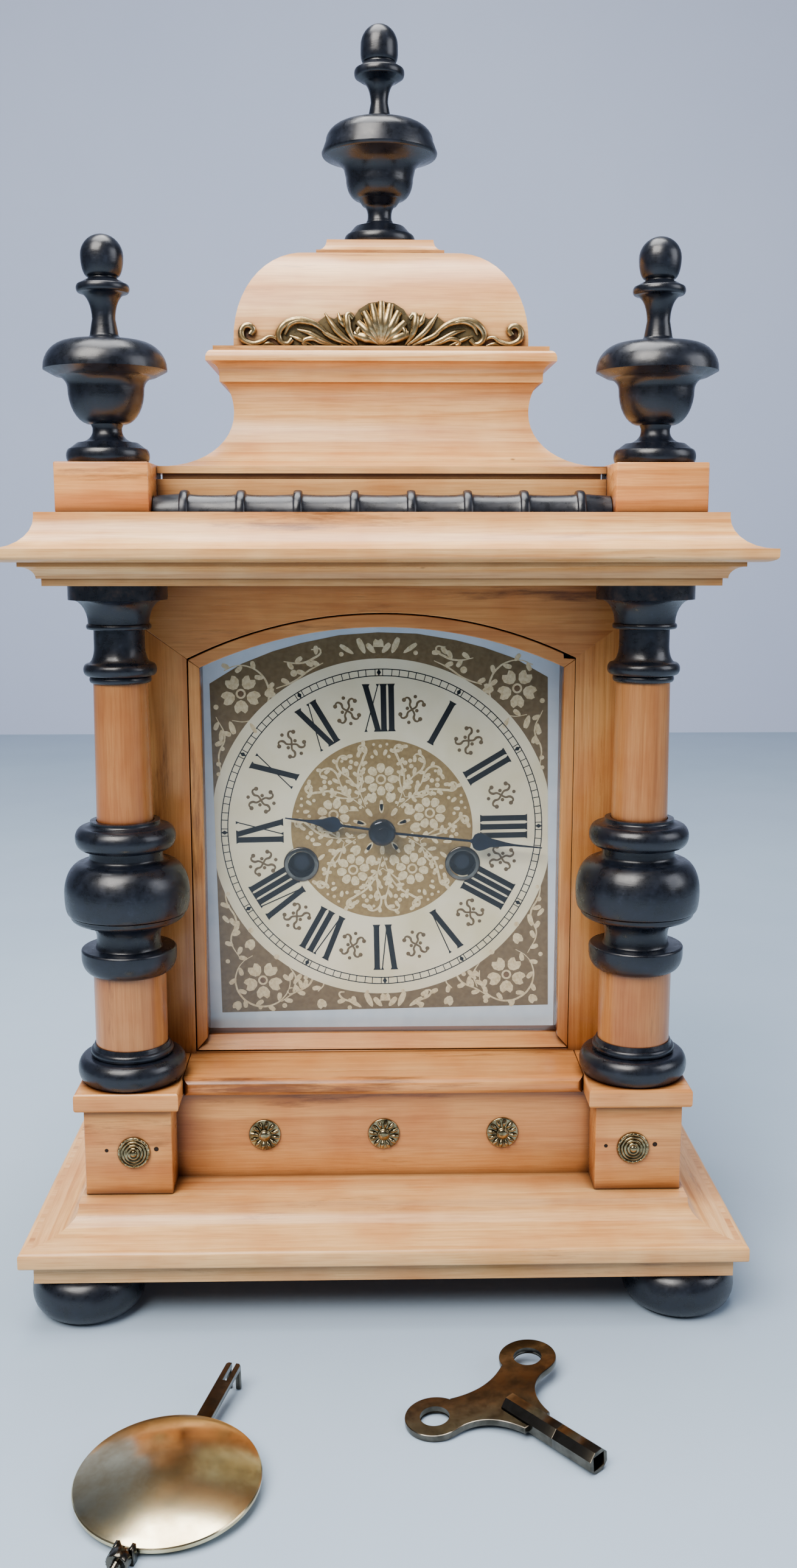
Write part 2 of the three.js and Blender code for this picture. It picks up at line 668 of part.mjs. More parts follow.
const doorCut = cut(
  doorBlank,
  elevation(sight, FRAME_FRONT - 1, FRAME_BACK),
  elevation(rebate, glassPlane, FRAME_BACK),
  block(HINGE_X, DOOR_HALF + 1, FRAME_FRONT - 1, HINGE_Y, DOOR_BOTTOM - 1, DOOR_CROWN),
  block(HINGE_X - HINGE_RELIEF, DOOR_HALF + 1, FRAME_FRONT - 1, FRAME_BACK, HINGE_TOP - 1.2, DOOR_CROWN),
  bevel,
);
piece(clock, 'door_frame', DARK_PINE, joined(
  doorCut,
  upright(HINGE_INSET, DOOR_BOTTOM, HINGE_TOP - 1.2, HINGE_X, HINGE_Y),
  upright(HINGE_PIN_RADIUS, DOOR_BOTTOM - HINGE_PIN_LENGTH, DOOR_BOTTOM + 1, HINGE_X, HINGE_Y),
  upright(HINGE_PIN_RADIUS, HINGE_TOP - 2, HINGE_TOP + HINGE_PIN_LENGTH, HINGE_X, HINGE_Y),
));
piece(clock, 'door_glass', GLASS, elevation(
  arch(glassHalf, glassFoot, glassSpring, glassCrown), glassPlane, glassPlane + GLASS_THICKNESS,
));

// Back frame and back door, hinged behind the same side, with a turn button at the free edge
const backFront = BODY_BACK - BACK_THICKNESS;
const backHingeX = BACK_DOOR_HALF - HINGE_INSET;
const backHingeY = BODY_BACK - HINGE_INSET;
const buttonX = -BACK_DOOR_HALF - BUTTON_MARGIN;
const buttonZ = (BACK_DOOR_BOTTOM + BACK_DOOR_TOP) / 2;
const backOpeningHalf = BACK_DOOR_HALF + DOOR_GAP;
const backOpening = rectangle(
  -backOpeningHalf, backOpeningHalf, BACK_DOOR_BOTTOM - DOOR_GAP, BACK_DOOR_TOP + DOOR_GAP,
);
piece(clock, 'back_frame', PINE, cut(
  elevation(bodyShape, backFront, BODY_BACK),
  elevation(backOpening, backFront - 1, BODY_BACK + 1),
  upright(pinHole, BACK_DOOR_BOTTOM - pinReach, BACK_DOOR_BOTTOM, backHingeX, backHingeY),
  upright(pinHole, BACK_DOOR_TOP, BACK_DOOR_TOP + pinReach, backHingeX, backHingeY),
  rod(PIVOT_RADIUS + SEAT_GAP, BODY_BACK - HINGE_PIN_LENGTH, BODY_BACK + 1, buttonX, buttonZ),
));
const backDoor = cut(
  block(-BACK_DOOR_HALF, BACK_DOOR_HALF, backFront, BODY_BACK, BACK_DOOR_BOTTOM, BACK_DOOR_TOP),
  block(backHingeX, BACK_DOOR_HALF + 1, backHingeY, BODY_BACK + 1, BACK_DOOR_BOTTOM - 1, BACK_DOOR_TOP + 1),
);
piece(clock, 'back_door', PINE, joined(
  backDoor,
  upright(HINGE_INSET, BACK_DOOR_BOTTOM, BACK_DOOR_TOP, backHingeX, backHingeY),
  upright(
    HINGE_PIN_RADIUS, BACK_DOOR_BOTTOM - HINGE_PIN_LENGTH, BACK_DOOR_TOP + HINGE_PIN_LENGTH,
    backHingeX, backHingeY,
  ),
));
const button = new THREE.Shape();
button.absarc(0, BUTTON_LENGTH / 2 - BUTTON_WIDTH / 2, BUTTON_WIDTH / 2, 0, Math.PI, false);
button.absarc(0, BUTTON_WIDTH / 2 - BUTTON_LENGTH / 2, BUTTON_WIDTH / 2, Math.PI, 2 * Math.PI, false);
piece(clock, 'back_door_button', DARK_PINE, joined(
  elevation(button, SEAT_GAP, SEAT_GAP + BUTTON_THICKNESS),
  rod(PIVOT_RADIUS, SEAT_GAP - HINGE_PIN_LENGTH, SEAT_GAP + 1),
), buttonX, BODY_BACK, buttonZ);

// Cornice: stepped under-moulding, nose and a hollow upper face
const CORNICE_FOOT_HALF = HALF_WIDTH - 15;
const corniceOutline = new Outline(CORNICE_FOOT_HALF)
  .rise(2.5)
  .step(CORNICE_FOOT_HALF + 1.5)
  .hollow(HALF_WIDTH - 8.5, 4)
  .rise(1.5)
  .step(HALF_WIDTH - 5)
  .swell(HALF_WIDTH, 2)
  .rise(2.5)
  .step(HALF_WIDTH - 1)
  .hollow(CORNICE_FOOT_HALF + 1.5, CORNICE_HEIGHT - 14)
  .rise(1.5);
piece(clock, 'cornice', PINE, moulded(corniceOutline, FRONT, BACK), 0, 0, CORNICE_FOOT);

// Turned side finial: foot, stem, bowl that flares to a wide brim, domed lid, neck, ring and ball
function sideFinial({ height, foot, stem, cup, brim, lid, neck, ring, tip }) {
  return turned(new Outline(foot - 1.4)
    .bead(1.4, 5.2)
    .cone(foot - 3.9, 1.9)
    .hollow(stem, 4.2)
    .rise(0.8)
    .cone(stem + 0.5, 1.2)
    .swell(cup, 11.9)
    .hollow(brim - 3.8, 4.3)
    .cone(brim, 2)
    .rise(0.6)
    .swell(lid, 9.2)
    .cone(lid - 3, 0.4)
    .hollow(neck + 0.9, 1.8)
    .cone(neck, 5)
    .hollow(ring - 0.9, 8.6)
    .bead(0.9, 3)
    .cone(ring - 3.1, 1.2)
    .hollow(ring - 4.2, 1)
    .swell(tip, tip - 0.2)
    .tip(height));
}

// Top finial: the same parts on a longer stem, with a domed lid and a tip like an acorn
function topFinial({ height, foot, stem, cup, brim, lid, neck, ring, tip }) {
  return turned(new Outline(foot - 1.5)
    .bead(1.5, 5)
    .cone(foot - 4.2, 2.9)
    .hollow(stem + 0.5, 2.1)
    .hollow(stem, 2.1)
    .hollow(stem + 1.9, 3.8)
    .cone(stem + 3.5, 2.1)
    .swell(cup, 7.9)
    .cone(cup + 0.9, 4)
    .cone(cup + 3, 2)
    .cone(brim - 1.1, 2)
    .swell(brim, 1.6)
    .cone(brim - 1.6, 4)
    .swell(lid, 7.4)
    .cone(neck + 1.9, 1.7)
    .hollow(neck + 0.8, 1.3)
    .cone(neck, 4)
    .hollow(ring - 2.6, 8)
    .cone(ring - 0.8, 1.2)
    .bead(0.8, 3.4)
    .cone(tip - 0.4, 1.4)
    .hollow(tip - 1, 0.9)
    .swell(tip, 3.4)
    .rise(2.5)
    .tip(height));
}

// Corner blocks over the columns, a little further out, each with its finial
for (const [side, sign] of SIDES) {
  const half = PEDESTAL_WIDTH / 2;
  const cornerBlock = block(-half, half, -half, half, CORNICE_TOP, BLOCK_TOP);
  piece(clock, `corner_block_${side}`, PINE, cornerBlock, sign * BLOCK_X, COLUMN_Y);
  piece(
    clock, `side_finial_${side}`, EBONISED, sideFinial(SIDE_FINIAL), sign * BLOCK_X, COLUMN_Y, BLOCK_TOP,
  );
}

// Gallery: one split turning, rings and hollow spools, flat side down between the blocks
const gallery = new Outline(GALLERY_SPOOL_RADIUS);
const ringed = 2 * (PEDIMENT_HALF - GALLERY_END) - GALLERY_RINGS * GALLERY_RING_WIDTH;
const spoolWidth = ringed / (GALLERY_RINGS - 1);
gallery.cone(GALLERY_SPOOL_RADIUS + 0.9, GALLERY_END);
for (let ring = 0; ring < GALLERY_RINGS; ring += 1) {
  gallery.step(GALLERY_RING_RADIUS - 0.8).bead(0.8, GALLERY_RING_WIDTH);
  gallery.step(GALLERY_SPOOL_RADIUS + 0.9);
  if (ring < GALLERY_RINGS - 1) {
    gallery.hollow(GALLERY_SPOOL_RADIUS, spoolWidth / 2).hollow(GALLERY_SPOOL_RADIUS + 0.9, spoolWidth / 2);
  }
}
gallery.cone(GALLERY_SPOOL_RADIUS, GALLERY_END);
const wholeGallery = turned(gallery).translate(0, 0, -PEDIMENT_HALF).rotateY(Math.PI / 2);
const galleryFloor = block(-HALF_WIDTH, HALF_WIDTH, -HALF_WIDTH, HALF_WIDTH, -HALF_WIDTH, 0);
piece(clock, 'gallery_turning', EBONISED, cut(wholeGallery, galleryFloor), 0, GALLERY_Y, CORNICE_TOP);

// Pediment: fascia, toe, cove, fillet and rounded ledge
const pedimentOutline = new Outline(PEDIMENT_HALF)
  .rise(12)
  .step(PEDIMENT_HALF - 1.5)
  .rise(2)
  .step(PEDIMENT_HALF)
  .rise(2.5)
  .hollow(WAIST_HALF, 20.5)
  .hollow(LEDGE_HALF - 4.5, 10.5)
  .rise(3)
  .hollow(LEDGE_HALF, 4)
  .rise(1)
  .swell(LEDGE_HALF - 2.5, 3)
  .rise(PEDIMENT_HEIGHT - 58.5);
const pediment = moulded(pedimentOutline, PEDIMENT_FRONT, PEDIMENT_BACK);
piece(clock, 'pediment_cove', PINE, pediment, 0, 0, CORNICE_TOP);

// Dome, its cap and the top finial
const domeOutline = new Outline(DOME_HALF).rise(3).swell(DOME_CAP_HALF, DOME_HEIGHT - 3);
piece(clock, 'dome', PINE, moulded(domeOutline, DOME_FRONT, PEDIMENT_BACK), 0, 0, PEDIMENT_TOP);
const domeCapOutline = new Outline(DOME_CAP_HALF)
  .rise(1.5)
  .hollow(DOME_CAP_TOP_HALF, DOME_CAP_HEIGHT - 1.5);
piece(clock, 'dome_cap', PINE, moulded(domeCapOutline, DOME_CAP_FRONT, PEDIMENT_BACK), 0, 0, DOME_TOP);
const finialY = (DOME_CAP_FRONT + PEDIMENT_BACK + DOME_CAP_HALF - DOME_CAP_TOP_HALF) / 2;
piece(clock, 'top_finial', EBONISED, topFinial(TOP_FINIAL), 0, finialY, DOME_TOP + DOME_CAP_HEIGHT);

// Gilt mount on the dome: a shell between two leaf scrolls that end in curls
function mountOutline() {
  const shape = new THREE.Shape();
  const lobes = 5;
  const leaf = MOUNT_HEIGHT * 0.62;
  shape.moveTo(-MOUNT_HALF, 0);
  shape.lineTo(MOUNT_HALF, 0);
  shape.quadraticCurveTo(MOUNT_HALF + 1, leaf * 0.9, MOUNT_HALF * 0.9, leaf * 0.9);
  shape.quadraticCurveTo(MOUNT_HALF * 0.74, leaf * 0.2, MOUNT_HALF * 0.62, leaf * 0.65);
  shape.quadraticCurveTo(MOUNT_HALF * 0.48, leaf * 1.5, MOUNT_HALF * 0.38, leaf * 0.9);
  shape.lineTo(SHELL_RADIUS, leaf * 0.6);
  for (let lobe = 1; lobe <= lobes; lobe += 1) {
    const end = (Math.PI * lobe) / (lobes + 1);
    const mid = end - Math.PI / (2 * (lobes + 1));
    const reach = MOUNT_HEIGHT;
    shape.quadraticCurveTo(
      SHELL_RADIUS * 1.1 * Math.cos(mid), reach * 1.06 * Math.max(Math.sin(mid), 0.6),
      SHELL_RADIUS * Math.cos(end), reach * 0.94 * Math.max(Math.sin(end), 0.6),
    );
  }
  shape.lineTo(-SHELL_RADIUS, leaf * 0.6);
  shape.lineTo(-MOUNT_HALF * 0.38, leaf * 0.9);
  shape.quadraticCurveTo(-MOUNT_HALF * 0.48, leaf * 1.5, -MOUNT_HALF * 0.62, leaf * 0.65);
  shape.quadraticCurveTo(-MOUNT_HALF * 0.74, leaf * 0.2, -MOUNT_HALF * 0.9, leaf * 0.9);
  shape.quadraticCurveTo(-MOUNT_HALF - 1, leaf * 0.9, -MOUNT_HALF, 0);
  return shape;
}
const giltMount = elevation(mountOutline(), -MOUNT_THICKNESS, 0);
piece(clock, 'gilt_mount', GILT, giltMount, 0, DOME_FRONT, PEDIMENT_TOP);

// Pressed rosettes: three on the apron, one on each pedestal
function rosette() {
  const outline = new Outline(ROSETTE_RADIUS)
    .swell(ROSETTE_RADIUS * 0.5, ROSETTE_HEIGHT * 0.6)
    .swell(0, ROSETTE_HEIGHT * 0.4);
  return turned(outline, SMALL_SIDES).rotateX(Math.PI / 2);
}
const ROSETTE_HEIGHT_ABOVE_PLINTH = PEDESTAL_HEIGHT / 2;
for (const [name, x] of [['left', -ROSETTE_SPACING], ['centre', 0], ['right', ROSETTE_SPACING]]) {
  const z = PLINTH_TOP + ROSETTE_HEIGHT_ABOVE_PLINTH;
  piece(clock, `apron_rosette_${name}`, OLD_BRASS, rosette(), x, APRON_FRONT, z);
}
for (const [side, sign] of SIDES) {
  const z = PLINTH_TOP + ROSETTE_HEIGHT_ABOVE_PLINTH;
  piece(clock, `pedestal_boss_${side}`, OLD_BRASS, rosette(), sign * (COLUMN_X - 2), PEDESTAL_FRONT, z);
}

// Dial plate, fixed to the back of the front frame
const dialShape = rectangle(-DIAL_HALF, DIAL_HALF, DOOR_BOTTOM - DIAL_FOOT_LAP, CORNICE_FOOT - DIAL_HEAD);
const windingZ = DIAL_CENTRE - WINDING_DROP;
for (const [x, z, radius] of [
  [0, DIAL_CENTRE, DIAL_HOLE_RADIUS],
  [-WINDING_X, windingZ, WINDING_HOLE_RADIUS],
  [WINDING_X, windingZ, WINDING_HOLE_RADIUS],
]) {
  dialShape.holes.push(new THREE.Path().absarc(x, z, radius, 0, 2 * Math.PI, true));
}
piece(clock, 'dial_plate', PAPER, elevation(dialShape, DIAL_FRONT, DIAL_FRONT + DIAL_THICKNESS));

// Hands: a boss, a thin shaft, a pear-shaped swelling and a long point
function hand(length, bore) {
  const boss = bore + HAND_BOSS;
  const shaft = 0.8;
  const swelling = length * 0.66;
  const shape = new THREE.Shape();
  const start = Math.asin(shaft / boss);
  shape.absarc(0, 0, boss, Math.PI / 2 + start, Math.PI / 2 - start + 2 * Math.PI, false);
  shape.lineTo(shaft * 0.8, swelling * 0.8);
  shape.bezierCurveTo(
    length * 0.07, swelling * 0.93, length * 0.07, swelling * 1.02, shaft * 0.8, swelling * 1.12,
  );
  shape.lineTo(shaft * 0.4, length);
  shape.lineTo(-shaft * 0.4, length);
  shape.lineTo(-shaft * 0.8, swelling * 1.12);
  shape.bezierCurveTo(
    -length * 0.07, swelling * 1.02, -length * 0.07, swelling * 0.93, -shaft * 0.8, swelling * 0.8,
  );
  shape.closePath();
  return shape;
}
const hourFront = DIAL_FRONT - HAND_STANDOFF - HAND_THICKNESS;
const minuteFront = hourFront - HAND_SPACING;
const pipeBore = CENTRE_ARBOR_RADIUS + 0.4;
const pipeRadius = pipeBore + HOUR_PIPE_WALL;
const hourWheelFront = DIAL_FRONT + HOUR_WHEEL_BACKSET;
const hourWheelBack = hourWheelFront + HOUR_WHEEL_THICKNESS;
const hourBlade = elevation(hand(HOUR_HAND_LENGTH, pipeRadius), hourFront, hourFront + HAND_THICKNESS);
hourBlade.rotateY(THREE.MathUtils.degToRad(HOUR_HAND_TURN));
const hourHand = joined(
  hourBlade,
  rod(pipeRadius, hourFront - HAND_THICKNESS, hourWheelBack, 0, 0, TURNED_SIDES),
  rod(HOUR_WHEEL_RADIUS, hourWheelFront, hourWheelBack, 0, 0, TURNED_SIDES),
);
const hourBore = rod(pipeBore, hourFront - HAND_SPACING, hourWheelBack + 1, 0, 0, TURNED_SIDES);
piece(clock, 'hour_hand', STEEL, cut(hourHand, hourBore), 0, 0, DIAL_CENTRE);
const minuteShape = hand(MINUTE_HAND_LENGTH, CENTRE_ARBOR_RADIUS);
const minuteBlade = elevation(minuteShape, minuteFront, minuteFront + HAND_THICKNESS);
minuteBlade.rotateY(THREE.MathUtils.degToRad(MINUTE_HAND_TURN));
const colletOutline = new Outline(COLLET_RADIUS).rise(0.6).swell(0, COLLET_HEIGHT - 0.6);
const collet = turned(colletOutline).rotateX(Math.PI / 2);
const arborTip = minuteFront + SEAT_GAP;
const arborHole = rod(CENTRE_ARBOR_RADIUS + SEAT_GAP, arborTip - SEAT_GAP, minuteFront + 2);
piece(clock, 'minute_hand', STEEL, cut(
  joined(minuteBlade, collet.translate(0, minuteFront + 0.2, 0)), arborHole,
), 0, 0, DIAL_CENTRE);

// Movement plates: the front one has ears that are screwed to the rails, the back one carries the
// pillars and the suspension cock
const plateFront = RAIL_FRONT - PLATE_THICKNESS;
const plateBack = RAIL_FRONT + PLATE_SPACING;
const plateRear = plateBack + PLATE_THICKNESS;
const anchorZ = ESCAPE_DISTANCE + ANCHOR_DISTANCE;
const greatWheelX = WINDING_X;

// Where an arbor stands so that it is a given distance from the centre and from another arbor
function meshPoint(fromCentre, fromOther, otherZ) {
  const z = (fromCentre ** 2 - fromOther ** 2 + otherZ ** 2) / (2 * otherZ);
  return [Math.sqrt(fromCentre ** 2 - z ** 2), z];
}
const [thirdX, thirdZ] = meshPoint(
  CENTRE_WHEEL_RADIUS + THIRD_PINION_RADIUS + SEAT_GAP,
  THIRD_WHEEL_RADIUS + ESCAPE_PINION_RADIUS + SEAT_GAP,
  ESCAPE_DISTANCE,
);
const greatDistance = Math.hypot(WINDING_X, WINDING_DROP);
const centrePinionRadius = greatDistance - GREAT_WHEEL_RADIUS - SEAT_GAP;
const gongZ = PLINTH_TOP + GONG_RADIUS + GONG_FOOT_GAP - DIAL_CENTRE;
const hammerTurn = THREE.MathUtils.degToRad(HAMMER_ANGLE);
const hammerReach = GONG_RADIUS + GONG_WIRE_RADIUS + HAMMER_HEAD_RADIUS + HAMMER_GAP;
const headX = hammerReach * Math.cos(hammerTurn);
const headZ = gongZ + hammerReach * Math.sin(hammerTurn);
const hammerX = headX - HAMMER_ARBOR_OFFSET;
const hammerZ = HAMMER_ARBOR_RISE - PLATE_BELOW;

const arbors = [
  [0, 0, CENTRE_ARBOR_RADIUS],
  [-WINDING_X, -WINDING_DROP, WINDING_ARBOR_RADIUS],
  [WINDING_X, -WINDING_DROP, WINDING_ARBOR_RADIUS],
  [thirdX, thirdZ, PIVOT_RADIUS],
  [0, ESCAPE_DISTANCE, PIVOT_RADIUS],
  [0, anchorZ, PIVOT_RADIUS],
  [hammerX, hammerZ, PIVOT_RADIUS],
];

function drilled(shape) {
  for (const [x, z, radius] of arbors) {
    shape.holes.push(new THREE.Path().absarc(x, z, radius + SEAT_GAP, 0, 2 * Math.PI, true));
  }
  return shape;
}

const movement = new THREE.Group();
movement.position.z = DIAL_CENTRE;
clock.add(movement);
const earReach = BODY_HALF - SIDE_THICKNESS - 4;
const frontPlate = drilled(rectangle(-PLATE_HALF, PLATE_HALF, -PLATE_BELOW, PLATE_ABOVE));
const earLevels = [-PLATE_BELOW + EAR_HEIGHT, PLATE_ABOVE - 2 * EAR_HEIGHT];
const ears = earLevels.flatMap((z) => SIDES.map(([, sign]) => {
  const [x0, x1] = [sign * (PLATE_HALF - 2), sign * earReach].sort((a, b) => a - b);
  return block(x0, x1, plateFront, RAIL_FRONT, z, z + EAR_HEIGHT);
}));
const frontSheet = elevation(frontPlate, plateFront, RAIL_FRONT);
piece(movement, 'movement_front_plate', BRASS, joined(frontSheet, ...ears));
const backPlate = drilled(rectangle(-PLATE_HALF, PLATE_HALF, -PLATE_BELOW, PLATE_ABOVE));
const pillarLevels = [-PLATE_BELOW + PILLAR_INSET, PLATE_ABOVE - PILLAR_INSET];
const pillars = pillarLevels.flatMap((z) => SIDES.map(([, sign]) => (
  rod(PILLAR_RADIUS, RAIL_FRONT, plateBack + 1, sign * (PLATE_HALF - PILLAR_INSET), z)
)));
const leaderPlane = plateRear + LEADER_BACKSET;
const cockBack = leaderPlane + LEADER_BACKSET;
const cockZ = anchorZ + COCK_RISE;
const cockHalf = COCK_WIDTH / 2;
const tabHalf = COCK_TAB_WIDTH / 2;
const cock = [
  block(-cockHalf, cockHalf, plateRear - 1, cockBack, cockZ, PLATE_ABOVE),
  block(-tabHalf, tabHalf, cockBack - LEADER_THICKNESS, cockBack, anchorZ - tabHalf, cockZ + 1),
  rod(PIVOT_RADIUS, leaderPlane - 0.5, cockBack - 1, 0, anchorZ),
];
piece(movement, 'movement_back_plate', BRASS, joined(
  elevation(backPlate, plateBack, plateRear), ...pillars, ...cock,
));

// Toothed wheels with four crossings
function toothed(radius, teeth, depth) {
  const points = [];
  for (let i = 0; i < 2 * teeth; i += 1) {
    const angle = (Math.PI * i) / teeth;
    const r = i % 2 ? radius - depth : radius;
    points.push(new THREE.Vector2(r * Math.cos(angle), r * Math.sin(angle)));
  }
  return new THREE.Shape(points);
}

function wheelShape(radius, teeth) {
  const shape = toothed(radius, teeth, TOOTH_DEPTH);
  const rim = radius * 0.8;
  const hub = radius * 0.3;
  const spoke = 0.28;
  for (let window = 0; window < 4; window += 1) {
    const from = (Math.PI * window) / 2 + spoke / 2;
    const to = (Math.PI * (window + 1)) / 2 - spoke / 2;
    const hole = new THREE.Path();
    hole.absarc(0, 0, rim, from, to, false);
    hole.absarc(0, 0, hub, to - spoke, from + spoke, true);
    hole.closePath();
    shape.holes.push(hole);
  }
  return shape;
}

function wheel(radius, teeth, front) {
  return elevation(wheelShape(radius, teeth), front, front + WHEEL_THICKNESS, WHEEL_ARC_STEPS);
}

// A pinion is a little wider than the wheel that drives it
function pinionSpan(wheelFront) {
  return [wheelFront - PINION_WALL, wheelFront + WHEEL_THICKNESS + PINION_WALL];
}

// Going train, from the great wheel to the escape wheel, and the strike train's great wheel
const greatPlane = RAIL_FRONT + GREAT_WHEEL_BACKSET;
const centrePlane = RAIL_FRONT + CENTRE_WHEEL_BACKSET;
const thirdPlane = RAIL_FRONT + THIRD_WHEEL_BACKSET;
const escapePlane = RAIL_FRONT + ESCAPE_WHEEL_BACKSET;
for (const [name, sign] of [['strike_great_wheel', -1], ['going_great_wheel', 1]]) {
  const arbor = rod(WINDING_ARBOR_RADIUS, DIAL_FRONT + DIAL_THICKNESS + ARBOR_SETBACK, plateRear);
  const geometry = joined(wheel(GREAT_WHEEL_RADIUS, GREAT_WHEEL_TEETH, greatPlane), arbor);
  piece(movement, name, BRASS, geometry, sign * greatWheelX, 0, -WINDING_DROP);
}
piece(movement, 'centre_wheel', BRASS, joined(
  wheel(CENTRE_WHEEL_RADIUS, CENTRE_WHEEL_TEETH, centrePlane),
  elevation(toothed(centrePinionRadius, 12, TOOTH_DEPTH), ...pinionSpan(greatPlane)),
  rod(CENTRE_ARBOR_RADIUS, arborTip, plateRear),
));
piece(movement, 'third_wheel', BRASS, joined(
  wheel(THIRD_WHEEL_RADIUS, THIRD_WHEEL_TEETH, thirdPlane),
  elevation(toothed(THIRD_PINION_RADIUS, 8, PINION_TOOTH_DEPTH), ...pinionSpan(centrePlane)),
  rod(PIVOT_RADIUS, plateFront, plateRear),
), thirdX, 0, thirdZ);
piece(movement, 'escape_wheel', BRASS, joined(
  wheel(ESCAPE_WHEEL_RADIUS, ESCAPE_WHEEL_TEETH, escapePlane),
  elevation(toothed(ESCAPE_PINION_RADIUS, 7, PINION_TOOTH_DEPTH), ...pinionSpan(thirdPlane)),
  rod(PIVOT_RADIUS, plateFront, plateRear),
), 0, 0, ESCAPE_DISTANCE);

// Pallet anchor over the escape wheel, with its crutch behind the back plate
const palletX = ESCAPE_WHEEL_RADIUS * 0.83;
const palletZ = Math.sqrt((ESCAPE_WHEEL_RADIUS + PALLET_GAP) ** 2 - palletX ** 2) - ANCHOR_DISTANCE;
const anchorShape = new THREE.Shape();
anchorShape.moveTo(-2.5, 3);
anchorShape.lineTo(-palletX - 2.2, palletZ + 2);
anchorShape.lineTo(-palletX - 2.2, palletZ - 0.4);
anchorShape.lineTo(-palletX, palletZ);
anchorShape.quadraticCurveTo(-palletX * 0.6, palletZ * 0.35, 0, -1.8);
anchorShape.quadraticCurveTo(palletX * 0.6, palletZ * 0.35, palletX, palletZ);
anchorShape.lineTo(palletX + 2.2, palletZ - 0.4);
anchorShape.lineTo(palletX + 2.2, palletZ + 2);
anchorShape.lineTo(2.5, 3);
anchorShape.closePath();
const crutchFront = plateRear + CRUTCH_BACKSET;
const crutchBack = crutchFront + CRUTCH_WIRE;
const forkInner = LEADER_WIDTH / 2 + CRUTCH_PLAY;
const forkOuter = forkInner + CRUTCH_WIRE;
const forkBack = leaderPlane + 2 * LEADER_THICKNESS;
const forkFoot = -CRUTCH_LENGTH - CRUTCH_WIRE;
piece(movement, 'pallet_anchor', STEEL, joined(
  elevation(anchorShape, escapePlane, escapePlane + WHEEL_THICKNESS),
  rod(PIVOT_RADIUS, plateFront, crutchBack),
  block(-CRUTCH_WIRE, CRUTCH_WIRE, crutchFront, crutchBack, -CRUTCH_LENGTH, PIVOT_RADIUS),
  block(-forkOuter, forkOuter, crutchFront, crutchBack, forkFoot, -CRUTCH_LENGTH + 1),
  block(-forkOuter, -forkInner, crutchFront, forkBack, forkFoot, -CRUTCH_LENGTH + 1),
  block(forkInner, forkOuter, crutchFront, forkBack, forkFoot, -CRUTCH_LENGTH + 1),
), 0, 0, anchorZ);

// Pendulum leader, hung from the cock, with the cross pin that takes the pendulum's hook
const leaderHalf = LEADER_WIDTH / 2;
const leaderBack = leaderPlane + LEADER_THICKNESS;
const leaderPin = LEADER_PIN_LENGTH / 2;
piece(movement, 'pendulum_leader', BRASS, cut(
  joined(
    rod(LEADER_EYE_RADIUS, leaderPlane, leaderBack, 0, 0, TURNED_SIDES),
    block(-leaderHalf, leaderHalf, leaderPlane, leaderBack, -LEADER_LENGTH, 0),
    block(-leaderPin, leaderPin, leaderPlane - 1, leaderBack + 1, -LEADER_LENGTH, 2.5 - LEADER_LENGTH),
  ),
  rod(PIVOT_RADIUS + SEAT_GAP, leaderPlane - 1, leaderBack + 1),
), 0, 0, anchorZ);

// Gong: a steel spiral whose outer end is held in an iron block on the floor of the case
class Spiral extends THREE.Curve {
  getPoint(t, target = new THREE.Vector3()) {
    const angle = Math.PI - 2 * Math.PI * GONG_TURNS * (1 - t);
    const radius = GONG_RADIUS - GONG_PITCH * GONG_TURNS * (1 - t);
    return target.set(radius * Math.cos(angle), 0, radius * Math.sin(angle));
  }
}
const wire = new THREE.Shape();
wire.absarc(0, 0, GONG_WIRE_RADIUS, 0, 2 * Math.PI, false);
const gongCoil = new THREE.ExtrudeGeometry(wire, {
  steps: 16 * GONG_TURNS, extrudePath: new Spiral(), bevelEnabled: false, curveSegments: 3,
});
const gongPlane = RAIL_FRONT + GONG_BACKSET;
const floor = PLINTH_TOP - DIAL_CENTRE;
const blockInner = -GONG_RADIUS + GONG_WIRE_RADIUS + 0.9;
const gongBlock = block(
  blockInner - GONG_BLOCK_WIDTH, blockInner,
  gongPlane - GONG_BLOCK_DEPTH / 2, gongPlane + GONG_BLOCK_DEPTH / 2,
  floor, gongZ + GONG_BLOCK_RISE,
);
piece(movement, 'gong', IRON, joined(gongCoil.translate(0, gongPlane, gongZ), gongBlock));

// Strike hammer: arbor, arm and head, clear of the gong at rest
const armLength = Math.hypot(headX - hammerX, headZ - hammerZ);
const armTurn = Math.atan2(hammerX - headX, hammerZ - headZ);
const armHalf = HAMMER_ARM_WIDTH / 2;
const headHalf = HAMMER_HEAD_LENGTH / 2;
const arm = block(
  -armHalf, armHalf, gongPlane - armHalf, gongPlane + armHalf, -armLength, 0,
).rotateY(armTurn);
const head = rod(
  HAMMER_HEAD_RADIUS, gongPlane - headHalf, gongPlane + headHalf, headX - hammerX, headZ - hammerZ,
);
piece(movement, 'strike_hammer', STEEL, joined(
  arm, head, rod(PIVOT_RADIUS, plateFront, plateRear),
), hammerX, 0, hammerZ);

// Lowers a loose group until it stands on the table
function settle(group) {
  group.updateMatrixWorld(true);
  group.position.z -= new THREE.Box3().setFromObject(group, true).min.z;
  return group;
}

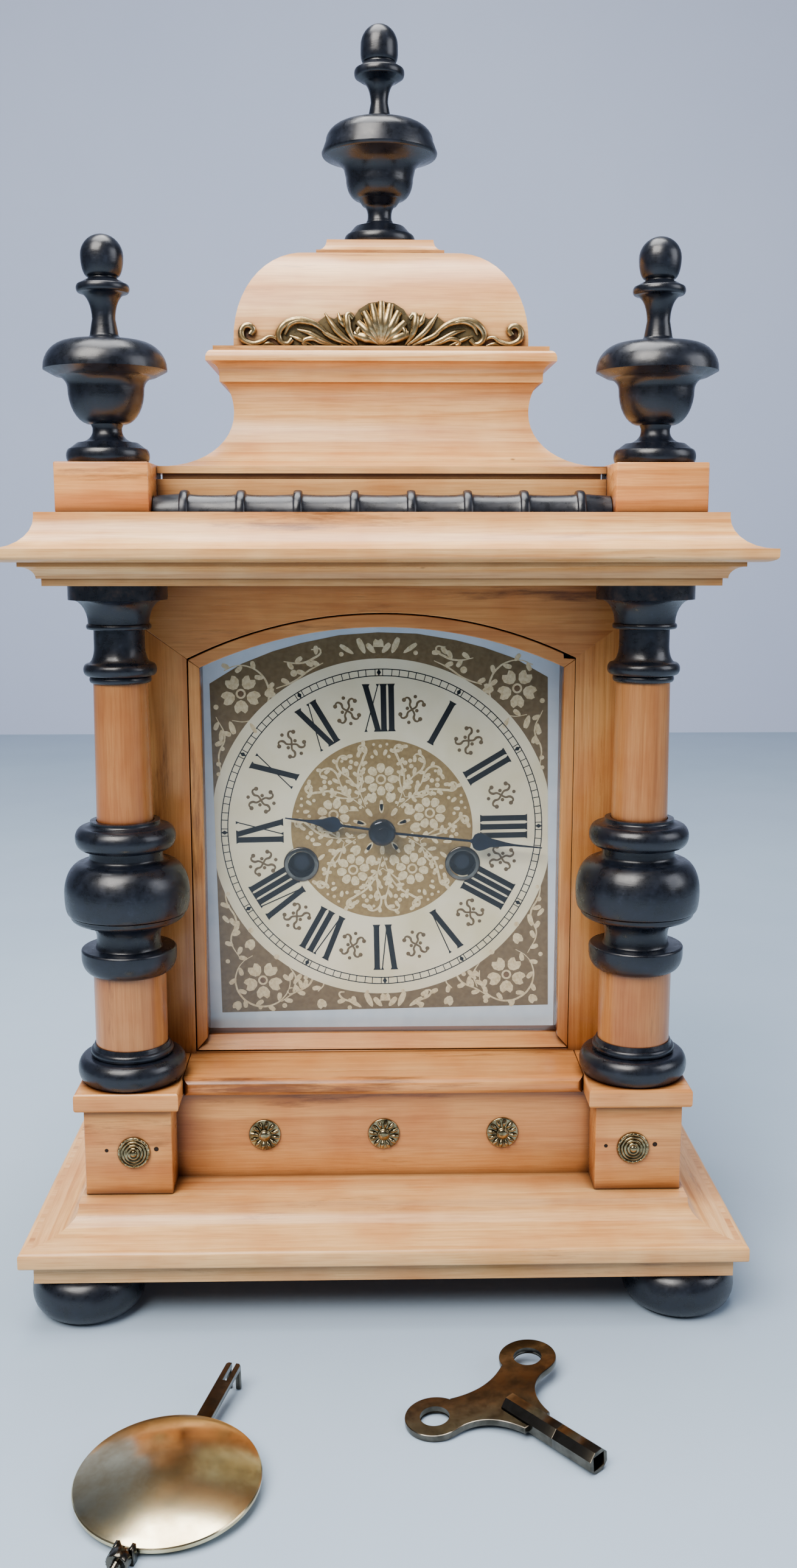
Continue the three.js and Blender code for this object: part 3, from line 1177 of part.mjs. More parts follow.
// Winding key: two rings on a waisted wing, and an eight-sided tube with a square bore
const key = new THREE.Group();
const ringX = KEY_RING_SPACING / 2;
const wing = new THREE.Shape();
wing.moveTo(-ringX, KEY_RING_RADIUS);
wing.quadraticCurveTo(0, -KEY_RING_RADIUS, ringX, KEY_RING_RADIUS);
wing.lineTo(ringX, -KEY_RING_RADIUS);
wing.quadraticCurveTo(KEY_WEB_HALF * 1.5, -KEY_RING_RADIUS, KEY_WEB_HALF, -KEY_WEB_END);
wing.lineTo(-KEY_WEB_HALF, -KEY_WEB_END);
wing.quadraticCurveTo(-KEY_WEB_HALF * 1.5, -KEY_RING_RADIUS, -ringX, -KEY_RING_RADIUS);
const halfKey = KEY_THICKNESS / 2;
const ringDiscs = [-ringX, ringX].map((x) => (
  upright(KEY_RING_RADIUS, -halfKey, halfKey, x, 0, TURNED_SIDES)
));
const ringHoles = [-ringX, ringX].map((x) => upright(KEY_RING_HOLE, -2, 2, x, 0, TURNED_SIDES));
const tube = rod(KEY_TUBE_RADIUS, -KEY_LENGTH, -KEY_TUBE_START, 0, 0, 8).rotateY(Math.PI / 8);
const bore = block(
  -KEY_SQUARE / 2, KEY_SQUARE / 2,
  -KEY_LENGTH - 1, KEY_BORE_DEPTH - KEY_LENGTH,
  -KEY_SQUARE / 2, KEY_SQUARE / 2,
);
piece(key, 'winding_key', OLD_BRASS, cut(
  joined(extruded(wing, KEY_THICKNESS).translate(0, 0, -halfKey), ...ringDiscs, tube),
  ...ringHoles,
  bore,
));
// It lies on its tube and on the outer edge of the left ring
const tubeLow = KEY_TUBE_RADIUS * Math.cos(THREE.MathUtils.degToRad(17));
const keyRoll = Math.asin((tubeLow - halfKey) / (ringX + KEY_RING_RADIUS));
key.rotation.set(0, -keyRoll, THREE.MathUtils.degToRad(KEY_TURN), 'ZYX');
key.position.set(KEY_X, KEY_Y, 0);

// Pendulum: a brass lens on a flat rod with a bent, slit hook and a rating nut
const pendulum = new THREE.Group();
const lensOutline = new Outline(0);
const rimFoot = BOB_BACK_RISE;
const rimTop = BOB_BACK_RISE + BOB_RIM;
lensOutline.quadraticCurveTo(BOB_RADIUS / 2, 0, BOB_RADIUS, rimFoot);
lensOutline.lineTo(BOB_RADIUS, rimTop);
lensOutline.quadraticCurveTo(BOB_RADIUS / 2, rimTop + BOB_FRONT_RISE, 0, rimTop + BOB_FRONT_RISE);
const lens = new THREE.LatheGeometry(lensOutline.getPoints(MOULDED_STEPS), LENS_SIDES).rotateX(Math.PI / 2);
const rodHalf = ROD_WIDTH / 2;
const rodTop = ROD_DEPTH + ROD_THICKNESS;
const groove = block(
  -rodHalf - SEAT_GAP, rodHalf + SEAT_GAP, -BOB_RADIUS - 1, BOB_RADIUS + 1, -1, rodTop + SEAT_GAP,
);
piece(pendulum, 'pendulum_bob', BRASS, cut(lens, groove));
const stirrup = -BOB_RADIUS - SEAT_GAP;
const threadZ = rimTop + NUT_RISE;
const rodEnd = stirrup - STIRRUP_LENGTH;
const nutBack = rodEnd - 1;
const strip = joined(
  block(-rodHalf, rodHalf, rodEnd, ROD_REACH, ROD_DEPTH, rodTop),
  block(-rodHalf, rodHalf, ROD_REACH - ROD_THICKNESS, ROD_REACH, rodTop - HOOK_DROP, rodTop),
  block(-rodHalf, rodHalf, rodEnd, stirrup, ROD_DEPTH, ROD_DEPTH + STIRRUP_HEIGHT),
  rod(THREAD_RADIUS, rodEnd - THREAD_LENGTH, rodEnd + 1, 0, threadZ),
  rod(NUT_RADIUS, nutBack - NUT_LENGTH, nutBack, 0, threadZ, TURNED_SIDES),
);
const slit = block(
  -HOOK_SLIT / 2, HOOK_SLIT / 2,
  ROD_REACH - HOOK_SLIT_LENGTH, ROD_REACH + 1,
  rodTop - HOOK_DROP - 1, rodTop + 1,
);
piece(pendulum, 'pendulum_rod', OLD_BRASS, cut(strip, slit));
const lensContact = BOB_RADIUS * 0.15;
const bobTilt = Math.atan((HOOK_DROP - rodTop) / (ROD_REACH + lensContact));
pendulum.rotation.set(bobTilt, 0, THREE.MathUtils.degToRad(BOB_TURN), 'ZYX');
pendulum.position.set(BOB_X, BOB_Y, 0);

// The whole set stands on z = 0 with the middle of its outer box at x = 0, y = 0, to half a millimetre
const set = new THREE.Group();
set.add(clock, settle(key), settle(pendulum));
set.updateMatrixWorld(true);
const outerBox = new THREE.Box3().setFromObject(set, true);
set.position.y = -Math.round(outerBox.min.y + outerBox.max.y) / 2;

export default set;
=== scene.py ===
# %% [markdown]
# # A mantel clock with ebonised turnings
# A German bracket clock of about 1900: a case of clear-finished pine, black turned columns, collars
# and finials, a printed paper dial behind an arched glass door, and its loose pendulum and key in
# front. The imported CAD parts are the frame: everything below is modelled at its place in them.

# %% Load the frame
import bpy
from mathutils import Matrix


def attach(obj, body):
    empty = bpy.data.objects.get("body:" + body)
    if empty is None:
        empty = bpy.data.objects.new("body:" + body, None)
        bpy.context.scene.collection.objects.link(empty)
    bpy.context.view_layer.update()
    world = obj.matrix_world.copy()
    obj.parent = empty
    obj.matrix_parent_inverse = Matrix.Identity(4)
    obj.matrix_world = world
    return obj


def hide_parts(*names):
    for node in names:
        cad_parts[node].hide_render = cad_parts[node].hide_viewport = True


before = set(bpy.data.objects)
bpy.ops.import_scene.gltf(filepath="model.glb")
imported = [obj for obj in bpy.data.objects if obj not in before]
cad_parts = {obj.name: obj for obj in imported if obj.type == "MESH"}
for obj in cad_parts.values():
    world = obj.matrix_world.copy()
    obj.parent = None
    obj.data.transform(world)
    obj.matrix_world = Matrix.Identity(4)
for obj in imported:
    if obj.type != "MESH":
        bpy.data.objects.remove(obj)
print("CAD nodes in the frame", len(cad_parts))

# %% [markdown]
# ## Units
# The clock is measured in millimetres and Blender works in metres, so sizes go through one small
# function.

# %% Units
import math
import random
import bmesh
import bpy
from mathutils import Vector

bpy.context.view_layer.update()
random.seed(7)


def mm(*values):
    """Millimetres as metres: one number, or a vector of several."""
    metres = [value / 1000 for value in values]
    return metres[0] if len(metres) == 1 else Vector(metres)


# %% [markdown]
# ## Colours and nodes
# Colours are written as the hex values a painter would pick on a screen, and turned into the linear
# numbers that light works with. One function adds any node, with its settings, its links and, for a
# colour ramp, its stops. `connect` sets the sockets, and serves each material's main shader too.

# %% Colour and node functions
def colour(code):
    """An sRGB hex colour as linear red, green, blue and alpha."""
    parts = [int(code[i:i + 2], 16) / 255 for i in (0, 2, 4)]
    return tuple(c / 12.92 if c <= 0.04045 else ((c + 0.055) / 1.055) ** 2.4 for c in parts) + (1,)


def connect(tree, made, links):
    """Sets a node's sockets: an output is linked, anything else is a plain value."""
    for name, value in links.items():
        if isinstance(value, bpy.types.NodeSocket):
            tree.links.new(value, made.inputs[name])
        else:
            made.inputs[name].default_value = value
    return made


def node(tree, kind, links=None, stops=(), **settings):
    """Adds a node with its settings and links; stops are a ramp's (place, hex) pairs."""
    made = tree.nodes.new("ShaderNode" + kind)
    for name, value in settings.items():
        setattr(made, name, value)
    if stops:
        points = made.color_ramp.elements
        while len(points) < len(stops):
            points.new(0.5)
        for point, (place, code) in zip(points, stops):
            point.position = place
            point.color = colour(code)
    return connect(tree, made, links or {})


def new_material(name):
    """An empty material: its node tree and its principled shader."""
    material = bpy.data.materials.new(name)
    material.use_nodes = True
    return material, material.node_tree, material.node_tree.nodes["Principled BSDF"]


print("mid grey on screen, in linear light", round(colour("808080")[0], 3))

# %% [markdown]
# A colour mix has sockets for numbers and vectors as well, so its colour sockets are picked by
# their place in the list. Two settings serve everywhere: a plain mix, and a multiply that darkens.

# %% Colour mixes
FACTOR, UNDER, OVER, MIXED = 0, 6, 7, 2
MIX = {"data_type": "RGBA"}
MULTIPLY = {"data_type": "RGBA", "blend_type": "MULTIPLY"}
print("mix sockets", FACTOR, UNDER, OVER, "result", MIXED)

# %% [markdown]
# ## Pine under an old clear varnish
# Pine is a softwood with wide pale early wood and narrow brown late wood, so its figure is thin
# dark lines a few millimetres apart, straight along a board and curved where the saw cut across
# the log. The pattern reads a `grain` attribute that each piece carries, whose x runs along the
# fibres. An old varnish has gone honey-coloured and shines softly. Its crevices are darkened partly
# by dirt and partly by painted shade, and painted shade darkens its recesses and undersides.

# %% Pine
def pine(name, pale, middle, late, spacing=5.0, gloss=0.4):
    """Pine with its rings, fibres, streaks and small knots, and dirt and painted shade in its
    corners.
    """
    material, tree, shader = new_material(name)
    grain = node(tree, "Attribute", attribute_name="grain").outputs["Vector"]
    drawn = node(tree, "Mapping", {"Vector": grain, "Scale": (0.1, 1, 1)}).outputs["Vector"]
    wander = node(tree, "TexNoise", {"Vector": drawn, "Scale": 34, "Detail": 2}).outputs["Color"]
    bent = node(tree, "VectorMath", {0: wander, 1: (0.012, 0.012, 0.012)}, operation="MULTIPLY")
    bent = node(tree, "VectorMath", {0: drawn, 1: bent.outputs[0]}, operation="ADD").outputs[0]
    rings = node(tree, "TexWave", {
        "Vector": bent, "Scale": 314 / spacing, "Distortion": 1.6, "Detail": 3,
        "Detail Scale": 2.2, "Detail Roughness": 0.6,
    }, wave_type="RINGS", rings_direction="X", wave_profile="SAW").outputs["Fac"]
    figure = node(tree, "ValToRGB", {"Fac": rings}, stops=(
        (0.0, pale), (0.55, middle), (0.86, late), (0.94, middle), (1.0, pale),
    )).outputs["Color"]
    cover = node(tree, "Mapping", {"Vector": grain, "Scale": (0.25, 1, 1)}).outputs["Vector"]
    cover = node(tree, "TexNoise", {"Vector": cover, "Scale": 32, "Detail": 2}).outputs["Fac"]
    cover = node(tree, "ValToRGB", {"Fac": cover}, stops=((0.42, "3A3A3A"), (0.6, "E6E6E6")))
    wood = node(tree, "Mix", {
        FACTOR: cover.outputs["Color"], UNDER: colour(middle), OVER: figure,
    }, **MIX).outputs[MIXED]
    long_way = node(tree, "Mapping", {"Vector": grain, "Scale": (0.035, 1, 1)}).outputs["Vector"]
    fibres = node(tree, "TexNoise", {"Vector": long_way, "Scale": 1700, "Detail": 3}).outputs["Fac"]
    streaks = node(tree, "TexNoise", {"Vector": long_way, "Scale": 120, "Detail": 5}).outputs["Fac"]
    blotches = node(tree, "TexNoise", {"Vector": grain, "Scale": 38, "Detail": 4}).outputs["Fac"]
    knots = node(tree, "TexVoronoi", {"Vector": grain, "Scale": 26}).outputs["Distance"]
    # Painted shade: occlusion darkens crevices within 5 mm, partly as dirt in the joints, and
    # recesses and undersides within 40 mm, where shade falls.
    corner = node(tree, "AmbientOcclusion", {"Distance": 0.005}, samples=8).outputs["AO"]
    wide_painted_shade = node(tree, "AmbientOcclusion", {"Distance": 0.04}, samples=8).outputs["AO"]
    scuffs = node(tree, "TexNoise", {
        "Vector": drawn, "Scale": 70, "Detail": 9, "Roughness": 0.72,
    }).outputs["Fac"]
    for strength, mask, *stops in (
        (0.5, fibres, (0.34, "D9C6AC"), (0.6, "FFFFFF")),
        (0.42, streaks, (0.36, "D2AC80"), (0.56, "FFFFFF")),
        (0.6, blotches, (0.34, "E3C4A0"), (0.6, "FFFFFF")),
        (0.7, knots, (0.012, "5B3A1E"), (0.03, "FFFFFF")),
        # crevices: partly dirt, partly painted shade; then painted shade in recesses and undersides
        (0.85, corner, (0.3, "4A2C16"), (0.85, "FFFFFF")),
        (0.85, wide_painted_shade, (0.2, "84582F"), (0.7, "FFFFFF")),
        (0.75, scuffs, (0.58, "FFFFFF"), (0.68, "6A4A2C")),
    ):
        layer = node(tree, "ValToRGB", {"Fac": mask}, stops=stops).outputs["Color"]
        wood = node(tree, "Mix", {
            FACTOR: strength, UNDER: wood, OVER: layer,
        }, **MULTIPLY).outputs[MIXED]
    rough = node(tree, "ValToRGB", {"Fac": streaks}, stops=((0.3, "A0A0A0"), (0.7, "868686")))
    bump = node(tree, "Bump", {"Height": fibres, "Strength": 0.1, "Distance": 0.0002})
    connect(tree, shader, {
        "Base Color": wood, "Roughness": rough.outputs["Color"], "Normal": bump.outputs["Normal"],
        "Coat Weight": 0.12, "Coat Roughness": gloss,
    })
    return material


PINE = pine("clear_varnished_pine", "F6C88B", "F0BD7D", "D99D5A")
MID_PINE = pine("honey_varnished_pine", "EAAB69", "E2A15E", "C78645", spacing=4.8)
SHAFT_PINE = pine("brown_varnished_pine", "BC824C", "B37843", "9C6432", spacing=4.2)
DARK_PINE = pine("darker_varnished_pine", "DEA461", "D69856", "C08244", spacing=4.6)
print("pines", [wood.name for wood in (PINE, MID_PINE, SHAFT_PINE, DARK_PINE)])

# %% [markdown]
# ## Ebonised wood
# The turnings are pear or beech, stained black on the lathe and polished with black shellac: nearly
# black with a blue cast in the light, a soft shine, faint rings from the tool, and brown wood
# showing at the worn arrises.

# %% Ebonised wood
def ebonised():
    """Black-stained turned wood with a shellac shine."""
    material, tree, shader = new_material("ebonised_turned_wood")
    place = node(tree, "TexCoord").outputs["Object"]
    drawn = node(tree, "Mapping", {"Vector": place, "Scale": (0.2, 0.2, 1)}).outputs["Vector"]
    tool = node(tree, "TexNoise", {"Vector": drawn, "Scale": 1400, "Detail": 3}).outputs["Fac"]
    dust = node(tree, "TexNoise", {
        "Vector": place, "Scale": 240, "Detail": 6, "Roughness": 0.65,
    }).outputs["Fac"]
    black = node(tree, "ValToRGB", {"Fac": dust}, stops=(
        (0.35, "0A0D14"), (0.62, "121722"), (0.75, "202633"),
    )).outputs["Color"]
    arris = node(tree, "NewGeometry").outputs["Pointiness"]
    worn = node(tree, "ValToRGB", {"Fac": arris}, stops=((0.56, "000000"), (0.64, "FFFFFF")))
    rub = node(tree, "ValToRGB", {"Fac": dust}, stops=((0.52, "000000"), (0.66, "FFFFFF")))
    worn = node(tree, "Mix", {
        FACTOR: 1.0, UNDER: worn.outputs["Color"], OVER: rub.outputs["Color"],
    }, **MULTIPLY).outputs[MIXED]
    base = node(tree, "Mix", {FACTOR: worn, UNDER: black, OVER: colour("4A3526")}, **MIX)
    rough = node(tree, "ValToRGB", {"Fac": dust}, stops=((0.35, "868686"), (0.7, "A8A8A8")))
    bump = node(tree, "Bump", {"Height": tool, "Strength": 0.14, "Distance": 0.0002})
    connect(tree, shader, {
        "Base Color": base.outputs[MIXED], "Roughness": rough.outputs["Color"],
        "Normal": bump.outputs["Normal"], "Coat Weight": 0.04, "Coat Roughness": 0.5,
    })
    return material


EBONY = ebonised()
print("stain", EBONY.name)

# %% [markdown]
# ## Brass, gilt, steel and iron
# All four are bare or lacquered metals, so they share one build: a metallic base whose tone varies
# with tarnish and which is rougher where tarnished. Its corners and hollows are darkened partly by
# grime and partly by painted shade.

# %% Metals
ARBOR_REACH = 4.5


def metal(name, bright, tarnish, roughness, grime_and_shade=0.8, speck=300, reach=0.003, arbor=None):
    """A metal with tarnish, and grime and painted shade in its corners;
    with an arbor's (x, z), dark steel round that arbor.
    """
    material, tree, shader = new_material(name)
    place = node(tree, "TexCoord").outputs["Object"]
    patches = node(tree, "TexNoise", {
        "Vector": place, "Scale": speck, "Detail": 6, "Roughness": 0.6,
    }).outputs["Fac"]
    tone = node(tree, "ValToRGB", {"Fac": patches}, stops=((0.36, tarnish), (0.6, bright)))
    # Occlusion darkens the tone in corners and hollows: partly grime, partly painted shade.
    corner = node(tree, "AmbientOcclusion", {"Distance": reach}, samples=8).outputs["AO"]
    corner = node(tree, "ValToRGB", {"Fac": corner}, stops=((0.25, "241A10"), (0.8, "FFFFFF")))
    tone = node(tree, "Mix", {
        FACTOR: grime_and_shade, UNDER: tone.outputs["Color"], OVER: corner.outputs["Color"],
    }, **MULTIPLY).outputs[MIXED]
    if arbor:
        axis = mm(arbor[0], 0, arbor[1])
        beside = node(tree, "VectorMath", {0: place, 1: axis}, operation="SUBTRACT").outputs[0]
        beside = node(tree, "VectorMath", {0: beside, 1: (1, 0, 1)}, operation="MULTIPLY")
        away = node(tree, "VectorMath", {0: beside.outputs[0]}, operation="LENGTH").outputs["Value"]
        near = node(tree, "Math", {0: away, 1: mm(ARBOR_REACH)}, operation="LESS_THAN").outputs[0]
        tone = node(tree, "Mix", {
            FACTOR: near, UNDER: tone, OVER: colour("24262B"),
        }, **MIX).outputs[MIXED]
    low, high = (format(int(255 * roughness * share), "02X") * 3 for share in (1.0, 0.7))
    rough = node(tree, "ValToRGB", {"Fac": patches}, stops=((0.3, low), (0.7, high)))
    bump = node(tree, "Bump", {"Height": patches, "Strength": 0.08, "Distance": 0.0002})
    connect(tree, shader, {
        "Base Color": tone, "Roughness": rough.outputs["Color"],
        "Normal": bump.outputs["Normal"], "Metallic": 1,
    })
    return material


BOB_BRASS = metal("polished_brass_with_patina", "E4D5AC", "AC9468", 0.54, grime_and_shade=0.5, speck=45)
BRASS = metal("rolled_brass", "D2B062", "A88640", 0.4, speck=220)
KEY_BRONZE = metal("brown_patinated_brass", "6C665C", "48443C", 0.52, grime_and_shade=0.6, speck=200)
OLD_BRASS = metal("tarnished_cast_brass", "A99A74", "5E5238", 0.56, speck=420, reach=0.002)
GILT = metal("pressed_antique_gilt", "BCA478", "86704A", 0.7, grime_and_shade=0.85, speck=500, reach=0.003)
# The plates' 30 mm occlusion reach paints shade over their faces inside the case.
PLATE_BRASS = metal("dull_movement_brass", "A68B52", "6F5A34", 0.5,
                    grime_and_shade=1.0, speck=220, reach=0.03)
COLLET_STEEL = metal("grey_turned_steel", "50545C", "2A2D33", 0.36, speck=500)
BLUED = metal("blued_steel", "1E222E", "11141B", 0.46, speck=300)
IRON = metal("forged_iron", "4A4846", "2A2826", 0.8, speck=400)
ARBOR_X, ARBOR_Z = 32, 152.5
GREAT_WHEELS = {
    f"{train}_great_wheel": metal(
        f"{train}_wheel_on_steel_arbor", "D2B062", "A88640", 0.4, speck=220, arbor=(x, ARBOR_Z))
    for train, x in (("going", ARBOR_X), ("strike", -ARBOR_X))
}
print("materials so far", len(bpy.data.materials))

# %% [markdown]
# ## Paper, inks, paint and glass
# The dial is a lithograph: cream card with brown and black ink, slightly toned with age. Ink lies
# matt on the paper, so both are rough and have no metal in them. The old window glass is thin and
# clear, so it is a see-through pane with a little mirror in it, more at a slant.

# %% Paper, inks, paint and glass
def matt(name, pale, toned, roughness=0.7, speck=60, shine=0.3):
    """A dry printed or painted surface, toned in soft patches."""
    material, tree, shader = new_material(name)
    place = node(tree, "TexCoord").outputs["Object"]
    patches = node(tree, "TexNoise", {
        "Vector": place, "Scale": speck, "Detail": 7, "Roughness": 0.6,
    }).outputs["Fac"]
    tone = node(tree, "ValToRGB", {"Fac": patches}, stops=((0.32, toned), (0.62, pale)))
    connect(tree, shader, {
        "Base Color": tone.outputs["Color"], "Roughness": roughness, "Specular IOR Level": shine,
    })
    return material


CREAM = matt("cream_dial_card", "F1ECCE", "E2DBB4", speck=45)
CREAM_INK = matt("cream_reserve_on_print", "E9DCB4", "CDB988", speck=900)
BROWN_INK = matt("brown_litho_ink", "6E5D3C", "55462C", speck=700, shine=0.15)
DARK_BROWN_INK = matt("dark_brown_litho_ink", "7A5E3C", "574026", speck=700)
BLACK_INK = matt("black_litho_ink", "08080A", "040405", roughness=0.85, speck=500, shine=0.1)
GROUND_BROWN = matt("shaded_brown_litho_ground", "7A6745", "685634", speck=600)
MIDDLE_BROWN = matt("golden_brown_litho_ground", "98804C", "846C3A", speck=600)
# The nail holes are thin discs in this colour: their shadow, painted.
PAINTED_HOLE_SHADOW = matt("shadow_in_a_nail_hole", "20140C", "140C06", speck=500)
SLIP_WHITE = matt("white_painted_slip", "DEECF8", "CEDFEE", roughness=0.45, speck=90)


def window_glass():
    """A thin clear pane: the view goes straight through, under a faint mirror of the room."""
    material, tree, shader = new_material("old_window_glass")
    tree.nodes.remove(shader)
    slant = node(tree, "LayerWeight").outputs["Facing"]
    slant = node(tree, "Math", {0: slant, 1: 4}, operation="POWER").outputs[0]
    share = node(tree, "Math", {0: slant, 1: 0.6, 2: 0.03}, operation="MULTIPLY_ADD").outputs[0]
    clear = node(tree, "BsdfTransparent").outputs["BSDF"]
    mirror = node(tree, "BsdfAnisotropic", {"Roughness": 0.0}).outputs["BSDF"]
    pane = node(tree, "MixShader", {0: share, 1: clear, 2: mirror}).outputs["Shader"]
    connect(tree, tree.nodes["Material Output"], {"Surface": pane})
    return material


GLASS = window_glass()
print("materials", len(bpy.data.materials))

# %% [markdown]
# ## Studio and camera
# The photograph was taken from close by, a little above the clock and almost square to it. The
# camera stands where the photographer's did; the light is a plain soft studio light, with a big
# window-like panel in front so that the black turnings show their shape.

# %% Lamp function and camera
def start():
    """Back to object mode, with nothing selected."""
    if bpy.context.object and bpy.context.object.mode != "OBJECT":
        bpy.ops.object.mode_set(mode="OBJECT")
    bpy.ops.object.select_all(action="DESELECT")


def light(name, place, aim, size, power, tint="FFFFFF"):
    """A square soft light at a place, turned towards a point."""
    start()
    bpy.ops.object.light_add(type="AREA", location=mm(*place))
    lamp = bpy.context.object
    lamp.name = name
    lamp.rotation_euler = (mm(*aim) - mm(*place)).to_track_quat("-Z", "Y").to_euler()
    lamp.data.size = mm(size)
    lamp.data.energy = power
    lamp.data.color = colour(tint)[:3]
    return lamp


EYE_PLACE, TILT, TURN, LENS = (-6.5, -485.05, 279.5), 80.35, -1.34, 33.04
bpy.ops.object.camera_add(location=mm(*EYE_PLACE))
camera = bpy.context.object
camera.rotation_euler = (math.radians(TILT), 0, math.radians(TURN))
camera.data.sensor_fit = "VERTICAL"
camera.data.sensor_height = 36
camera.data.lens = LENS
camera.data.clip_start = 0.01
bpy.context.scene.camera = camera
print("camera in mm", [round(v * 1000, 1) for v in camera.location], "lens", LENS)

# %% [markdown]
# The floor is one big pale plane, and the wall far behind it another. What the camera sees of the
# world is a plain pale grey; the light it gives is softer and a little cooler.

# %% Floor, wall, world and lamps
start()
bpy.ops.mesh.primitive_plane_add(size=6, location=(0, 0, 0))
floor = bpy.context.object
floor.name = "floor"
cloth = matt("pale_blue_table_cloth", "A2B5C8", "9AADC1", roughness=0.8, speck=3)
floor.data.materials.append(cloth)
start()
bpy.ops.mesh.primitive_plane_add(size=8, location=(0, 1.6, 2), rotation=(math.pi / 2, 0, 0))
wall = bpy.context.object
wall.name = "wall"
wall.data.materials.append(matt("pale_wall", "C2CCE4", "BBC6E0", roughness=0.8, speck=1))

world = bpy.data.worlds.new("studio")
bpy.context.scene.world = world
world.use_nodes = True
studio = world.node_tree
sky = connect(studio, studio.nodes["Background"], {"Color": colour("DCE4F4"), "Strength": 0.16})
seen = node(studio, "LightPath").outputs["Is Camera Ray"]
plain = node(studio, "Background", {"Color": colour("C9D2E0"), "Strength": 0.8})
both = node(studio, "MixShader", {0: seen, 1: sky.outputs[0], 2: plain.outputs[0]})
connect(studio, studio.nodes["World Output"], {"Surface": both.outputs[0]})
light("front_panel", (-500, -800, 1250), (0, 0, 200), 900, 42, "FFFAF4")
light("side_panel_light", (1100, -300, 700), (0, 40, 200), 700, 7, "F2F5FF")
light("top_panel", (-100, 150, 1500), (0, 60, 200), 900, 30, "FFFFFF")
lamps = [thing for thing in bpy.data.objects if thing.type == "LIGHT"]
print("lamps", [(lamp.name, lamp.data.energy) for lamp in lamps])

# %% [markdown]
# ## Picking and placing
# `pick` selects what passes a test of place. `activate` takes a piece in hand, and
# `settle` puts its place, turn and size into its mesh, so that its origin stays at the clock's.

# %% Pick, activate and settle
def pick(test, domain="verts"):
    """In edit mode: selects only the elements whose centre passes the test, and counts them."""
    mesh = bmesh.from_edit_mesh(bpy.context.object.data)
    for part in (*mesh.verts, *mesh.edges, *mesh.faces):
        part.select = False
    found = 0
    for part in getattr(mesh, domain):
        points = [part.co] if domain == "verts" else [v.co for v in part.verts]
        if test(sum(points, Vector()) / len(points) * 1000):
            part.select_set(True)
            found += 1
    mesh.select_flush_mode()
    bmesh.update_edit_mesh(bpy.context.object.data)
    return found


def activate(piece):
    """Object mode, with this piece alone selected and active."""
    start()
    piece.select_set(True)
    bpy.context.view_layer.objects.active = piece


def settle(piece):
    """Moves the place, turn and size of an object into its mesh."""
    activate(piece)
    bpy.ops.object.transform_apply(location=True, rotation=True, scale=True)
    return piece


# %% [markdown]
# ## Arrises and shading
# `soften` rounds the arrises as sandpaper does. `close_shell` ends an edit: points that meet are
# welded, the normals turned outwards, and small angles shaded smooth. `join` glues pieces up.

# %% Soften, close and join
def smooth(degrees):
    """Shades the active piece smooth where its faces meet at less than an angle."""
    bpy.ops.object.shade_smooth_by_angle(angle=math.radians(degrees))


def soften(piece, width, segments=2, angle=40):
    """Rounds the arrises with an applied Bevel modifier, and shades the rest smooth."""
    activate(piece)
    bevel = piece.modifiers.new("arris", "BEVEL")
    bevel.width = mm(width)
    bevel.segments = segments
    bevel.limit_method = "ANGLE"
    bevel.angle_limit = math.radians(angle)
    bpy.ops.object.modifier_apply(modifier=bevel.name)
    smooth(45)
    return piece


def close_shell(soft, weld=True):
    """Leaves edit mode with a welded mesh, its normals outwards, shaded smooth."""
    bpy.ops.mesh.select_all(action="SELECT")
    if weld:
        bpy.ops.mesh.remove_doubles(threshold=0.00002)
    bpy.ops.mesh.normals_make_consistent(inside=False)
    bpy.ops.object.mode_set(mode="OBJECT")
    smooth(soft)


def join(name, pieces):
    """Several objects as one, under a new name."""
    start()
    for piece in pieces:
        piece.select_set(True)
    bpy.context.view_layer.objects.active = pieces[0]
    if len(pieces) > 1:
        bpy.ops.object.join()
    pieces[0].name = name
    return pieces[0]


# %% [markdown]
# ## Dressing a piece
# `dress` gives a finished piece its material, its moving body and the CAD nodes it stands for.
# `measured` prints sizes, to be held against the sizes of the real one.

# %% Dress and measure
def dress(piece, material, body, slot, *nodes):
    """Material, moving body and the CAD nodes that the piece stands for; slot is not used."""
    piece.data.materials.clear()
    piece.data.materials.append(material)
    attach(piece, body)
    if nodes:
        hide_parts(*nodes)
    return piece


def measured(*pieces):
    """Prints the size of each piece in millimetres."""
    for piece in pieces:
        print(piece.name, [round(v * 1000, 1) for v in piece.dimensions])


# %% [markdown]
# `lay_grain` writes the coordinates that the pine reads. x runs along the fibres, and each piece
# gets its own start in the log, so no two boards show the same figure. The returns of a moulding
# are separate lengths mitred at the corner, so their fibres run from front to back.

# %% Grain coordinates
def lay_grain(piece, along="X", turn_returns=False):
    """Stores the grain vector at every face corner."""
    shift = Vector([random.uniform(-0.3, 0.3) for _ in range(3)])
    heart = Vector((0, random.uniform(0.035, 0.07), random.uniform(-0.05, -0.02)))
    mesh = piece.data
    store = mesh.attributes.new("grain", "FLOAT_VECTOR", "CORNER")
    for face in mesh.polygons:
        side = turn_returns and abs(face.normal.x) > abs(face.normal.y) + 0.05
        for corner in face.loop_indices:
            x, y, z = mesh.vertices[mesh.loops[corner].vertex_index].co
            order = {"X": (x, y, z), "Y": (y, x, z), "Z": (z, x, y)}["Y" if side else along]
            value = Vector(order) + heart
            value.x += shift.x + (0.4 if side else 0)
            store.data[corner].vector = value
    return piece


# %% [markdown]
# ## Profiles
# Turned and moulded work is made of the same few shapes: a step, a straight, a full quarter (the
# swell of a bowl), a hollow quarter (a cove) and a half-round bead. `Outline` draws them upwards
# from the foot, in millimetres, with the radius or half width across.

